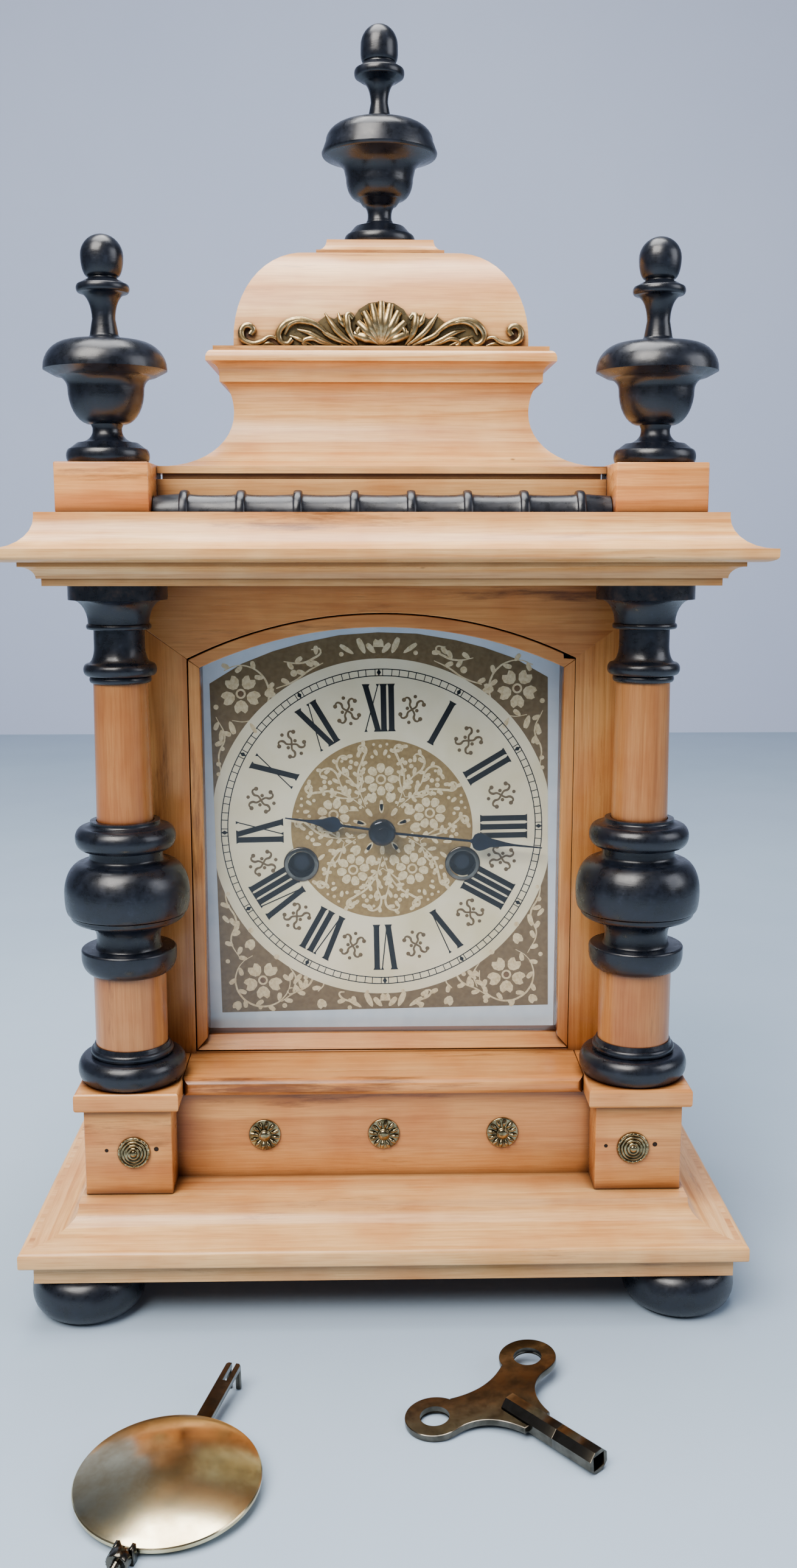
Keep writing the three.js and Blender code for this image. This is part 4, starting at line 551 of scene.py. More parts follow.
# %% Profile drawing
class Outline:
    """A profile as a list of (radius, height) points in millimetres."""

    def __init__(self, foot, bore=0, arcs=7):
        self.arcs = arcs
        self.bore = bore
        self.points = [(bore, 0), (foot, 0)]

    def cone(self, radius, height):
        self.points.append((radius, self.points[-1][1] + height))
        return self

    def rise(self, height):
        return self.cone(self.points[-1][0], height)

    def step(self, radius):
        return self.cone(radius, 0)

    def quarter(self, radius, height, corner_x, corner_y):
        x, y = self.points[-1]
        for i in range(1, self.arcs + 1):
            t = math.pi / 2 * i / self.arcs
            out, up = math.sin(t), 1 - math.cos(t)
            self.points.append((
                x + (corner_x - x) * out + (radius - corner_x) * up,
                y + (corner_y - y) * out + (y + height - corner_y) * up,
            ))
        return self

    def swell(self, radius, height):
        x, y = self.points[-1]
        return self.quarter(radius, height, *((radius, y) if radius > x else (x, y + height)))

    def hollow(self, radius, height):
        x, y = self.points[-1]
        return self.quarter(radius, height, *((x, y + height) if radius > x else (radius, y)))

    def bead(self, bulge, height):
        x = self.points[-1][0]
        return self.swell(x + bulge, height / 2).swell(x, height / 2)

    def closed(self):
        """All points, back at the bore, with no two the same."""
        points = self.points + [(self.bore, self.points[-1][1])]
        if self.bore:
            points.append((self.bore, 0))
        kept = [points[0]]
        for point in points[1:]:
            if math.dist(point, kept[-1]) > 0.001:
                kept.append(point)
        return kept


# %% [markdown]
# ## On the lathe
# A turned piece starts from a plane merged to one point, extruded point by point along the profile,
# and spun a full turn about its axis, just as the blank turns against the chisel.

# %% Lathe work
def trace_profile(points, place, lay):
    """In edit mode: one point extruded along a profile, whose steps are laid by a function."""
    start()
    bpy.ops.mesh.primitive_plane_add(size=0.001, location=mm(*place))
    bpy.ops.object.mode_set(mode="EDIT")
    bpy.ops.mesh.select_all(action="SELECT")
    bpy.ops.mesh.merge(type="CENTER")
    bpy.ops.transform.translate(value=mm(*lay(*points[0])))
    for (r0, h0), (r1, h1) in zip(points, points[1:]):
        step = mm(*lay(r1 - r0, h1 - h0))
        bpy.ops.mesh.extrude_vertices_move(TRANSFORM_OT_translate={"value": step})
    bpy.ops.mesh.select_all(action="SELECT")
    return bpy.context.object


def turned(name, outline, place, sides=72, soft=45):
    """Spins a profile about the upright axis through a place in millimetres."""
    piece = trace_profile(outline.closed(), place, lambda out, up: (out, 0, up))
    piece.name = name
    bpy.ops.mesh.spin(steps=sides, angle=2 * math.pi, center=mm(*place), axis=(0, 0, 1))
    close_shell(soft)
    return settle(piece)


# %% [markdown]
# ## Moulded blocks
# Plinth, cornice and pediment are blocks whose moulding runs round the front and both ends and is
# mitred at the corners, with a flat back. The block is drawn upwards from its foot: each step
# extrudes the face and scales it about the middle of its back edge.

# %% Moulded blocks and boards
def moulded(name, outline, x, z, front, back):
    """Extrudes a moulded block upwards along a profile of half widths."""
    points = outline.closed()[1:-1]
    widest = max(half for half, _ in points)
    start()
    half, height = points[0]
    foot = front + widest - half
    bpy.ops.mesh.primitive_plane_add(size=1, location=mm(x, (foot + back) / 2, z + height))
    piece = bpy.context.object
    piece.name = name
    piece.scale = (mm(2 * half), mm(back - foot), 1)
    settle(piece)
    bpy.ops.object.mode_set(mode="EDIT")
    bpy.ops.mesh.select_all(action="SELECT")
    for (h0, z0), (h1, z1) in zip(points, points[1:]):
        f0, f1 = front + widest - h0, front + widest - h1
        bpy.ops.mesh.extrude_region_move(TRANSFORM_OT_translate={"value": mm(0, 0, z1 - z0)})
        bpy.ops.transform.resize(
            value=(h1 / h0, (back - f1) / (back - f0), 1), center_override=mm(x, back, z + z1),
        )
    close_shell(35, weld=False)
    return piece


def board(name, x0, x1, y0, y1, z0, z1):
    """A sawn board: a cube at its size and place."""
    start()
    middle = mm((x0 + x1) / 2, (y0 + y1) / 2, (z0 + z1) / 2)
    bpy.ops.mesh.primitive_cube_add(size=1, location=middle, scale=mm(x1 - x0, y1 - y0, z1 - z0))
    piece = bpy.context.object
    piece.name = name
    return settle(piece)


# %% [markdown]
# ## Sawn shapes
# Boards with an arched opening, dial prints and flat metal are outlines with a thickness. Each is
# drawn as a flat curve with its openings, filled, made into a mesh, and stood up at its depth.

# %% Sawn shapes
def made_solid(name, curve):
    """Puts a curve in the scene and converts it to a mesh."""
    piece = bpy.data.objects.new(name, curve)
    bpy.context.collection.objects.link(piece)
    activate(piece)
    bpy.ops.object.convert(target="MESH")
    return bpy.context.object


def sawn(name, outlines, front, back, arris=0.0):
    """A flat shape seen from the front: closed (x, z) outlines in mm, the first one outermost."""
    curve = bpy.data.curves.new(name, "CURVE")
    curve.dimensions = "2D"
    curve.fill_mode = "BOTH"
    curve.extrude = mm(max((back - front) / 2 - arris, 0))
    curve.bevel_depth = mm(arris)
    curve.bevel_resolution = 1
    curve.offset = -mm(arris)
    for outline in outlines:
        line = curve.splines.new("POLY")
        line.use_cyclic_u = True
        line.points.add(len(outline) - 1)
        for point, (x, z) in zip(line.points, outline):
            point.co = (*mm(x, z, 0), 1)
    piece = made_solid(name, curve)
    piece.rotation_euler = (math.pi / 2, 0, 0)
    piece.location = mm(0, (front + back) / 2, 0)
    return settle(piece)


def arch(half, foot, spring, crown, steps=28):
    """A rectangle with a segmental arch on top, as (x, z) points."""
    rise = crown - spring
    radius = (half * half + rise * rise) / (2 * rise)
    spread = math.asin(half / radius)
    points = [(-half, foot), (half, foot)]
    for i in range(steps + 1):
        angle = spread * (1 - 2 * i / steps)
        points.append((radius * math.sin(angle), crown - radius + radius * math.cos(angle)))
    return points


def rectangle(x0, x1, z0, z1):
    """Four corners, as (x, z) points."""
    return [(x0, z0), (x1, z0), (x1, z1), (x0, z1)]


def ring(x, z, radius, sides=64):
    """A circle about a place, as (x, z) points."""
    turns = [2 * math.pi * i / sides for i in range(sides)]
    return [(x + radius * math.cos(turn), z + radius * math.sin(turn)) for turn in turns]


# %% [markdown]
# ## Feet and plinth
# The clock stands on four flattened ebonised balls. The plinth above is one moulded block: a band,
# a rounded nose and a long hollow slope.

# %% Feet and plinth
foot_outline = Outline(12).swell(20.5, 8.75).swell(15.375, 8.75)
SIDES = (("left", -1), ("right", 1))
FOOT_X = 109
for end, y in (("front", 11), ("rear", 129)):
    for side, sign in SIDES:
        foot = turned(f"bun_foot_{end}_{side}", foot_outline, (sign * FOOT_X, y, 0))
        dress(foot, EBONY, "case", "ebonised_wood", f"foot_{end}_{side}")

plinth_outline = (Outline(125.5).rise(6.5).swell(130, 1.5).rise(4).swell(128, 1.5).step(126)
                  .hollow(111.5, 8.5).rise(1.5))
plinth = moulded("plinth_moulding", plinth_outline, 0, 17.5, -10, 150)
lay_grain(plinth, "X", turn_returns=True)
dress(plinth, PINE, "case", "pine", "plinth")
measured(foot, plinth)

# %% [markdown]
# ## Pedestals, apron and sill
# Two square blocks carry the columns. Each has a cap with rounded edges, and between them are a
# darker apron and a half-round sill.

# %% Pedestals, apron and sill
COLUMN_X, PEDESTAL_HALF, BLOCK_FRONT, FRAME_FRONT = 94, 16, 15.5, 55
PLINTH_TOP, PEDESTAL_TOP, PEDESTAL_CAP_TOP = 41, 74, 81
for side, sign in SIDES:
    x = sign * COLUMN_X
    block = board(f"pedestal_block_{side}", x - PEDESTAL_HALF, x + PEDESTAL_HALF,
                  BLOCK_FRONT, FRAME_FRONT, PLINTH_TOP, PEDESTAL_TOP)
    lay_grain(soften(block, 0.5), "X")
    dress(block, DARK_PINE, "case", "dark_pine", f"pedestal_{side}")
    cap_outline = Outline(18).swell(19, 1.5).rise(4).swell(18, 1.5)
    cap = moulded(f"pedestal_cap_block_{side}", cap_outline, x, PEDESTAL_TOP, 12.5, FRAME_FRONT)
    lay_grain(cap, "X", turn_returns=True)
    dress(cap, MID_PINE, "case", "pine", f"pedestal_cap_{side}")

apron = board("apron_board", -78, 78, 30.5, FRAME_FRONT, PLINTH_TOP, PEDESTAL_TOP)
lay_grain(apron, "X")
dress(apron, DARK_PINE, "case", "dark_pine", "apron_panel")

sill = board("sill_half_round", -75, 75, 26, FRAME_FRONT, PEDESTAL_TOP, PEDESTAL_CAP_TOP)
bpy.ops.object.mode_set(mode="EDIT")
pick(lambda p: p.y < 26.1 and abs(p.x) < 1, "edges")
bpy.ops.mesh.bevel(offset=mm(3.48), segments=8, profile=0.5, affect="EDGES")
bpy.ops.object.mode_set(mode="OBJECT")
smooth(35)
lay_grain(sill, "X")
dress(sill, MID_PINE, "case", "pine", "sill_moulding")
measured(block, cap, apron, sill)

# %% [markdown]
# ## Columns
# Each column is a pine shaft with three ebonised pieces on it: a base ring, a vase-shaped collar
# that slides down onto the shaft's shoulder, and a capital. The profiles follow the photograph.

# %% Columns
base_outline = Outline(17).bead(3, 9.5).step(14.25).bead(1, 3).cone(13.75, 1.5)
shaft_outline = Outline(13.25).rise(27).step(10.2).rise(57).cone(9.69, 50)
collar_outline = (Outline(13.25, 10.5, arcs=9).swell(17.4, 6.2).rise(2.2).swell(16.6, 1)
                  .step(12.4).hollow(11.6, 3.9).hollow(16.5, 6).swell(20.9, 2.9).cone(21.1, 0.3)
                  .step(20.7).cone(20.8, 0.3).cone(21.5, 0.1).swell(22.75, 7.2)
                  .swell(16, 11.6).hollow(13.3, 1.8).rise(3).step(15.2).bead(3, 8.4)
                  .hollow(12.6, 1.4).rise(0.7))
print("collar height in mm", round(collar_outline.points[-1][1], 2))
capital_outline = (Outline(10.2).bead(0.8, 2.5).step(11.5).bead(1.5, 4.5).hollow(9, 6).rise(6)
                   .step(10.8).bead(0.7, 2).hollow(16.5, 8.5).step(17.5).rise(5.5))
COLUMN_Y, SHAFT_FOOT, COLLAR_FOOT, CAPITAL_FOOT = 31.5, 95, 122, 229
for side, sign in SIDES:
    x = sign * COLUMN_X
    for name, outline, z, node_name in (
        ("column_base_ring", base_outline, PEDESTAL_CAP_TOP, "column_base"),
        ("column_collar_vase", collar_outline, COLLAR_FOOT, "column_collar"),
        ("column_capital", capital_outline, CAPITAL_FOOT, "capital"),
    ):
        piece = turned(f"{name}_{side}", outline, (x, COLUMN_Y, z))
        dress(piece, EBONY, "case", "ebonised_wood", f"{node_name}_{side}")
    shaft = turned(f"column_shaft_turning_{side}", shaft_outline, (x, COLUMN_Y, SHAFT_FOOT))
    dress(lay_grain(shaft, "Z"), SHAFT_PINE, "case", "pine", f"column_shaft_{side}")

# %% [markdown]
# ## Case sides
# Plain boards close the case behind the columns, with the grain upright. Each has a rail glued
# inside it, and the two rails carry the movement.

# %% Sides
CASE_HALF, CASE_TOP, BACK_FRONT, BACK_FACE = 98, 264, 137, 145
for side, sign in SIDES:
    x0, x1 = sorted((CASE_HALF * sign, 88 * sign))
    r0, r1 = sorted((88.5 * sign, 78 * sign))
    panel = board(f"side_board_{side}", x0, x1, 73, BACK_FRONT, PLINTH_TOP, CASE_TOP)
    rail = board("rail", r0, r1, 84, 104, 102, 236)
    whole = lay_grain(join(f"side_board_{side}", [panel, rail]), "Z")
    dress(whole, PINE, "case", "pine", f"side_panel_{side}")
measured(whole)

# %% [markdown]
# ## Front frame
# The frame has a head with the grain across it and two stiles with the grain upright, mitred where
# the arch springs; behind it a second layer stops the door.

# %% Front frame
STOP_FRONT, SHEET_FACE = 67.3, 73
OPENING_HALF, OPENING_FOOT, SPRING, MITRE_TOP = 73.2, 81.6, 235.4, 253.5
case_outline = rectangle(-CASE_HALF, CASE_HALF, PLINTH_TOP, CASE_TOP)
stop_hole = arch(69.3, 83.5, 233.25, 250.25)
frame_stop = sawn("frame_stop", [case_outline, stop_hole], STOP_FRONT, SHEET_FACE)
dress(lay_grain(frame_stop, "Z"), DARK_PINE, "case", "dark_pine", "front_frame")
head_line = arch(OPENING_HALF, OPENING_FOOT, SPRING, 252.4)[2:]
head_line[0], head_line[-1] = (OPENING_HALF, SPRING), (-OPENING_HALF, SPRING)
right_stile = [(OPENING_HALF, OPENING_FOOT), (OPENING_HALF, SPRING), (CASE_HALF, MITRE_TOP),
               (CASE_HALF, PLINTH_TOP), (OPENING_HALF, PLINTH_TOP)]
members = (
    ("head", "X", head_line[::-1] + [(CASE_HALF, MITRE_TOP), (CASE_HALF, CASE_TOP),
                                     (-CASE_HALF, CASE_TOP), (-CASE_HALF, MITRE_TOP)]),
    ("stile_left", "Z", [(-x, z) for x, z in right_stile]),
    ("stile_right", "Z", right_stile),
    ("foot_rail", "X", rectangle(-OPENING_HALF, OPENING_HALF, PLINTH_TOP, OPENING_FOOT)),
)
for name, along, outline in members:
    member = sawn(f"frame_{name}", [outline], FRAME_FRONT, STOP_FRONT, arris=0.25)
    dress(lay_grain(member, along), DARK_PINE, "case", "dark_pine")
measured(frame_stop, member)

# %% [markdown]
# ## Back and back door
# The back is one board with an opening for reaching the movement. Its door is a plain board, and a
# small button turns on a pin beside it to hold it shut.

# %% Back, back door and button
back_hole = rectangle(-60.4, 60.4, 94.6, 225.4)
back = sawn("back_board", [case_outline, back_hole], BACK_FRONT, BACK_FACE)
dress(lay_grain(back, "X"), PINE, "case", "pine", "back_frame")
back_door = soften(board("back_door_board", -60, 60, BACK_FRONT, BACK_FACE, 95, 225), 0.6)
dress(lay_grain(back_door, "Z"), PINE, "rear_door", "pine", "back_door")
button = soften(board("turn_button_block", -69.5, -62.5, 145.3, 148.3, 149, 171), 1.2, 3)
dress(lay_grain(button, "Z"), DARK_PINE, "rear_door_button", "dark_pine", "back_door_button")
measured(back, back_door, button)

# %% [markdown]
# ## Front door
# The door is a narrow arched frame of four members, mitred at the corners. Its foot rail slopes
# back to the glass, which is one sheet put in from behind. The head is eased by a millimetre and
# a half at the hinge, where it would strike the arch as the door swings.

# %% Front door
DOOR_HALF, DOOR_FOOT, DOOR_SPRING, DOOR_CROWN = 72.8, 82, 235, 252
SIGHT_HALF, SIGHT_FOOT, SIGHT_SPRING = 68.6, 87.2, 232
eased = [(DOOR_HALF, DOOR_SPRING), (72.2, 235.2), (68.5, 235.4), (68.3, 236.9)]
door_arch = arch(DOOR_HALF, DOOR_FOOT, DOOR_SPRING, DOOR_CROWN)[2:]
outer = eased + [point for point in door_arch if point[0] < 68.2]
inner = arch(SIGHT_HALF, SIGHT_FOOT, SIGHT_SPRING, 247.1)[2:]
stile = [(DOOR_HALF, DOOR_FOOT), (DOOR_HALF, DOOR_SPRING),
         (SIGHT_HALF, SIGHT_SPRING), (SIGHT_HALF, SIGHT_FOOT)]
parts = (
    ("head", "X", outer + inner[::-1]),
    ("stile_right", "Z", stile),
    ("stile_left", "Z", [(-x, z) for x, z in stile]),
    ("foot_rail", "X", [(-DOOR_HALF, DOOR_FOOT), (DOOR_HALF, DOOR_FOOT),
                        (SIGHT_HALF, SIGHT_FOOT), (-SIGHT_HALF, SIGHT_FOOT)]),
)
for name, along, outline in parts:
    part = sawn(f"door_{name}", [outline], FRAME_FRONT, 67, arris=0.3)
    if name == "foot_rail":
        bpy.ops.object.mode_set(mode="EDIT")
        pick(lambda p: p.z > 86.5 and p.y < 56)
        bpy.ops.transform.translate(value=mm(0, 4.5, 0))
        bpy.ops.object.mode_set(mode="OBJECT")
    stands_for = ["door_frame"] if name == "head" else []
    dress(lay_grain(part, along), DARK_PINE, "front_door", "dark_pine", *stands_for)
pane = sawn("door_pane", [arch(70.1, 86, 232.75, 248.6)], 61, 63)
dress(pane, GLASS, "front_door", "clear_glass", "door_glass")
measured(part, pane)

# %% [markdown]
# ## Cornice and corner blocks
# The cornice steps outwards in small mouldings to a rounded nose, and goes back in a hollow. The
# corner blocks on it stand over the columns, a hair further out.

# %% Cornice and corner blocks
cornice_outline = (Outline(115).rise(2.5).step(116.5).hollow(121.5, 4).rise(1.5).step(125)
                   .swell(130, 2).rise(2.5).step(129).hollow(116.5, 10.5).rise(1.5))
cornice = moulded("cornice_moulding", cornice_outline, 0, CASE_TOP, -10, 150)
lay_grain(cornice, "X", turn_returns=True)
dress(cornice, PINE, "case", "pine", "cornice")
BLOCK_X, BLOCK_HALF, CORNICE_TOP, BLOCK_TOP = 95.8, 16, 288.5, 305.5
for side, sign in SIDES:
    x = sign * BLOCK_X
    block = board(f"corner_block_cube_{side}", x - BLOCK_HALF, x + BLOCK_HALF,
                  BLOCK_FRONT, BLOCK_FRONT + 2 * BLOCK_HALF, CORNICE_TOP, BLOCK_TOP)
    soften(block, 0.5)
    dress(lay_grain(block, "X"), MID_PINE, "case", "pine", f"corner_block_{side}")
measured(cornice, block)

# %% [markdown]
# ## Finials
# The two side finials are a pair: foot, thin stem, bowl flaring to a wide brim, domed lid, neck,
# ring and ball. The top one is longer, and ends in a tip like an acorn. Both follow the
# photograph's silhouettes.

# %% Finials
side_finial = (Outline(13, arcs=9).bead(1.4, 5.2).cone(10.5, 1.9).hollow(5.1, 4.2).rise(0.8)
               .cone(5.6, 1.2).swell(13.1, 11.9).hollow(17.4, 4.3).cone(21.2, 2).rise(0.6)
               .swell(11.5, 9.2).cone(8.5, 0.4).hollow(4.9, 1.8).cone(4, 5).hollow(8.2, 8.6)
               .bead(0.9, 3).cone(6, 1.2).hollow(4.9, 1).swell(7.3, 7.1).swell(0, 7.1))
top_finial = (Outline(12.5, arcs=9).bead(1.5, 5).cone(9.8, 2.9).hollow(5.2, 2.1).hollow(4.7, 2.1)
              .hollow(6.6, 3.8).cone(8.2, 2.1).swell(13.2, 7.9).cone(14.1, 4).cone(16.2, 2)
              .cone(21.6, 2).swell(22.7, 1.6).cone(21.1, 4).swell(10.3, 7.4).cone(5.3, 1.7)
              .hollow(4.2, 1.3).cone(3.4, 4).hollow(7.2, 8).cone(9, 1.2).bead(0.8, 3.4)
              .cone(6.9, 1.4).hollow(6.3, 0.9).swell(7.3, 3.4).rise(2.5).swell(0, 8.1))
print("finial heights in mm", [round(line.points[-1][1], 2) for line in (side_finial, top_finial)])
for side, sign in SIDES:
    piece = turned(f"finial_turning_{side}", side_finial, (sign * BLOCK_X, COLUMN_Y, BLOCK_TOP))
    dress(piece, EBONY, "case", "ebonised_wood", f"side_finial_{side}")
top = turned("finial_turning_top", top_finial, (0, 112.5, 393))
dress(top, EBONY, "case", "ebonised_wood", "top_finial")

# %% [markdown]
# ## Gallery
# Between the corner blocks lies half of a long turning, split down its middle: eight rings with
# hollow spools between them. It is spun half a turn about its own lying axis.

# %% Gallery
RINGS, RING_WIDTH, GALLERY_HALF, PLAIN_END = 8, 3, 79.5, 9.05
gallery_outline = Outline(6).cone(6.7, PLAIN_END)
spool = (2 * (GALLERY_HALF - PLAIN_END) - RINGS * RING_WIDTH) / (RINGS - 1)
for number in range(RINGS):
    gallery_outline.step(7.4).bead(0.6, RING_WIDTH).step(6.7)
    if number < RINGS - 1:
        gallery_outline.hollow(6.2, spool / 2).hollow(6.7, spool / 2)
gallery_outline.cone(6, PLAIN_END)
gallery = trace_profile(gallery_outline.closed(), (-GALLERY_HALF, 27, CORNICE_TOP),
                        lambda out, up: (up, -out, 0))
gallery.name = "gallery_split_turning"
bpy.ops.mesh.spin(steps=28, angle=math.pi, center=mm(0, 27, CORNICE_TOP), axis=(1, 0, 0))
close_shell(45)
dress(settle(gallery), EBONY, "case", "ebonised_wood", "gallery_turning")
measured(gallery)

# %% [markdown]
# ## Pediment, dome and cap
# The top of the case is three blocks on each other: a tall cove under a rounded ledge, a dome with
# a quarter-round section, and a small cap that takes the top finial.

# %% Pediment, dome and cap
cove_outline = (Outline(79.7, arcs=12).rise(12).step(78).rise(2).step(79.7).rise(2.5)
                .hollow(54.3, 20.5).hollow(59, 10.5).rise(3).hollow(63.5, 4).rise(1).swell(61, 3)
                .rise(1.5))
LEDGE_TOP, DOME_FRONT, DOME_BACK = 348.5, 61.5, 130
cove = moulded("pediment_cove_block", cove_outline, 0, CORNICE_TOP, 36, DOME_BACK)
dress(lay_grain(cove, "X", True), PINE, "case", "pine", "pediment_cove")
dome_outline = Outline(54, arcs=14).rise(3).swell(24.5, 35.5)
dome = moulded("dome_block", dome_outline, 0, LEDGE_TOP, DOME_FRONT, DOME_BACK)
dress(lay_grain(dome, "X", True), PINE, "case", "pine", "dome")
cap_outline = Outline(24.5).rise(1.5).hollow(20.5, 4.5)
dome_cap = moulded("dome_cap_block", cap_outline, 0, 387, 91, DOME_BACK)
dress(lay_grain(dome_cap, "X", True), PINE, "case", "pine", "dome_cap")
measured(cove, dome, dome_cap)

# %% [markdown]
# ## A drawn dial
# The dial is a brown and black lithograph. Its ornament is drawn as flat shapes in cream on a brown
# ground, so that it stays crisp at any size. `inked` lays filled outlines on the sheet, each layer
# a few hundredths of a millimetre in front of the last. `drawn` lays brush strokes: curves that
# swell and taper, made into a mesh and pressed flat.

# %% Turning, shifting and mirroring outlines
DIAL_Z = 166.5


def about(points, degrees, x=0, z=0):
    """Outline points turned clockwise about a place."""
    turn = math.radians(degrees)
    return [(x + (px - x) * math.cos(turn) + (pz - z) * math.sin(turn),
             z - (px - x) * math.sin(turn) + (pz - z) * math.cos(turn)) for px, pz in points]


def shifted(points, x, z):
    """Outline points moved."""
    return [(px + x, pz + z) for px, pz in points]


def facing(points):
    """Outline points as seen in a mirror."""
    return [(-px, pz) for px, pz in points]


print("a point at 12, turned to 3", [round(v, 2) for v in about([(0, 10)], 90)[0]])

# %% [markdown]
# Filled shapes lie in layers that are thinner than a hair, so that no two fight for the same place.
# A brush stroke is a round curve whose radius follows the pressure of the hand.

# %% Filled shapes and brush strokes
def inked(name, outlines, level, ink):
    """Filled outlines about the dial's centre, printed at a level above the sheet."""
    front = SHEET_FACE - 0.03 * level
    sheet = sawn(name, [shifted(outline, 0, DIAL_Z) for outline in outlines], front - 0.02, front)
    return dress(sheet, ink, "case", "printed_paper")


def stroked(name, lines, flat=1, sides=2):
    """Brush strokes or strips of leaf: (points, width) curves that swell and taper, as a mesh."""
    curve = bpy.data.curves.new(name, "CURVE")
    curve.dimensions = "3D"
    curve.bevel_depth = mm(0.5)
    curve.bevel_resolution = sides
    curve.resolution_u = 5
    curve.use_fill_caps = True
    for points, width, *ends in lines:
        first, last = ends or (0.35, 0.5)
        line = curve.splines.new("BEZIER")
        line.bezier_points.add(len(points) - 1)
        for i, (point, place) in enumerate(zip(line.bezier_points, points)):
            point.co = mm(place[0], place[2] if len(place) > 2 else 0, place[1])
            point.handle_left_type = point.handle_right_type = "AUTO"
            share = i / (len(points) - 1)
            swell = 1 - abs(2 * share - 1) ** 2
            point.radius = width * max(swell, first if share < 0.5 else last)
    piece = made_solid(name, curve)
    piece.scale = (1, flat, 1)
    settle(piece)
    smooth(60)
    return piece


def drawn(name, lines, level, ink):
    """Brush strokes about the dial's centre, pressed flat on the sheet at a level."""
    strokes = stroked(name, lines, flat=0.012, sides=1)
    strokes.location = mm(0, SHEET_FACE - 0.03 * level - 0.01, DIAL_Z)
    return dress(settle(strokes), ink, "case", "printed_paper")


print("print layers start at y", SHEET_FACE, "mm")

# %% [markdown]
# The sheet, the slip round it, the arched brown ground, the round cream reserve and the brown
# middle.

# %% Sheet and its holes
HOLE_RADIUS, PRINT_HALF = 5.5, 65.8
holes_on_sheet = [ring(0, DIAL_Z, 4, 40)] + [
    ring(x, ARBOR_Z, HOLE_RADIUS, 40) for x in (-ARBOR_X, ARBOR_X)]
plate = sawn("dial_sheet", [rectangle(-82, 82, 79, 258)] + holes_on_sheet, SHEET_FACE, 74.2)
dress(plate, SLIP_WHITE, "case", "printed_paper", "dial_plate")
holes = [shifted(hole, 0, -DIAL_Z) for hole in holes_on_sheet]
measured(plate)

# %% [markdown]
# The brown middle is a disc that the two winding holes bite into: where its edge meets a hole, the
# outline follows the hole's own circle instead.

# %% Ground, hour disc and middle
MIDDLE_RADIUS, HOLE_DROP = 35.9, ARBOR_Z - DIAL_Z
half_head = [(53, 66.5), (41, 71), (30, 74), (15, 76.8)]
panel = ([(-PRINT_HALF, -73.9), (PRINT_HALF, -73.9), (PRINT_HALF, 59)] + half_head + [(0, 77.6)]
         + facing(half_head)[::-1] + [(-PRINT_HALF, 59)])
disc = [(min(max(x, -PRINT_HALF), PRINT_HALF), z) for x, z in ring(0, 0, 67.5, 120)]


def hole_edge(x):
    """The edge of a winding hole at x, inside the middle, from one crossing to the other."""
    outward = math.degrees(math.atan2(HOLE_DROP, x))
    turns = [math.radians(outward - degrees) for degrees in range(10, 351, 8)]
    edge = [(x + HOLE_RADIUS * math.cos(turn), HOLE_DROP + HOLE_RADIUS * math.sin(turn))
            for turn in turns]
    return [point for point in edge if math.hypot(*point) < MIDDLE_RADIUS]


middle, bitten = [], set()
for point in ring(0, 0, MIDDLE_RADIUS, 120):
    near = [x for x in (-ARBOR_X, ARBOR_X) if math.dist((x, HOLE_DROP), point) < HOLE_RADIUS]
    if not near:
        middle.append(point)
    elif near[0] not in bitten:
        bitten.add(near[0])
        middle += hole_edge(near[0])
print_parts = [
    inked("arched_brown_ground", [panel] + holes, 1, GROUND_BROWN),
    inked("cream_hour_disc", [disc] + holes, 2, CREAM),
    inked("brown_middle", [middle, holes[0]], 3, MIDDLE_BROWN),
]
measured(*print_parts)

# %% [markdown]
# The minute track is two fine circles with sixty divisions, and a small diamond at every fifth.

# %% Minute track
TRACK_INNER, TRACK_OUTER = 60.8, 63.4
for radius in (TRACK_INNER, TRACK_OUTER):
    circle = [ring(0, 0, radius + 0.2, 120), ring(0, 0, radius - 0.2, 120)]
    print_parts.append(inked(f"minute_circle_{radius}", circle, 3, BLACK_INK))
division = rectangle(-0.16, 0.16, TRACK_INNER, TRACK_OUTER)
crossing = [about(division, 6 * minute + 3 * half)
            for minute in range(60) for half in (0.45, -0.45)]
diamond = [(0, 60.7), (0.85, 62.1), (0, 63.5), (-0.85, 62.1)]
fives = [about(diamond, 30 * hour) for hour in range(12)]
print_parts.append(inked("minute_divisions", crossing, 4, BLACK_INK))
print_parts.append(inked("five_minute_diamonds", fives, 5, BLACK_INK))
print("minute divisions", len(crossing) // 2, "diamonds", len(fives))

# %% [markdown]
# The numerals are drawn as a sign writer draws them: thick strokes, thin strokes and small feet,
# with the feet inward. Four is written IIII, as clockmakers do.

# %% Numerals
THICK, INNER, OUTER = 1.12, 38.9, 57.6


def bar(x0, x1, half):
    """A stroke from the inner circle at x0 to the outer one at x1, with flared ends."""
    flare = half + 0.45
    return [(x0 - flare, INNER), (x0 - half, INNER + 0.9),
            (x1 - half, OUTER - 0.9), (x1 - flare, OUTER),
            (x1 + flare, OUTER), (x1 + half, OUTER - 0.9),
            (x0 + half, INNER + 0.9), (x0 + flare, INNER)]


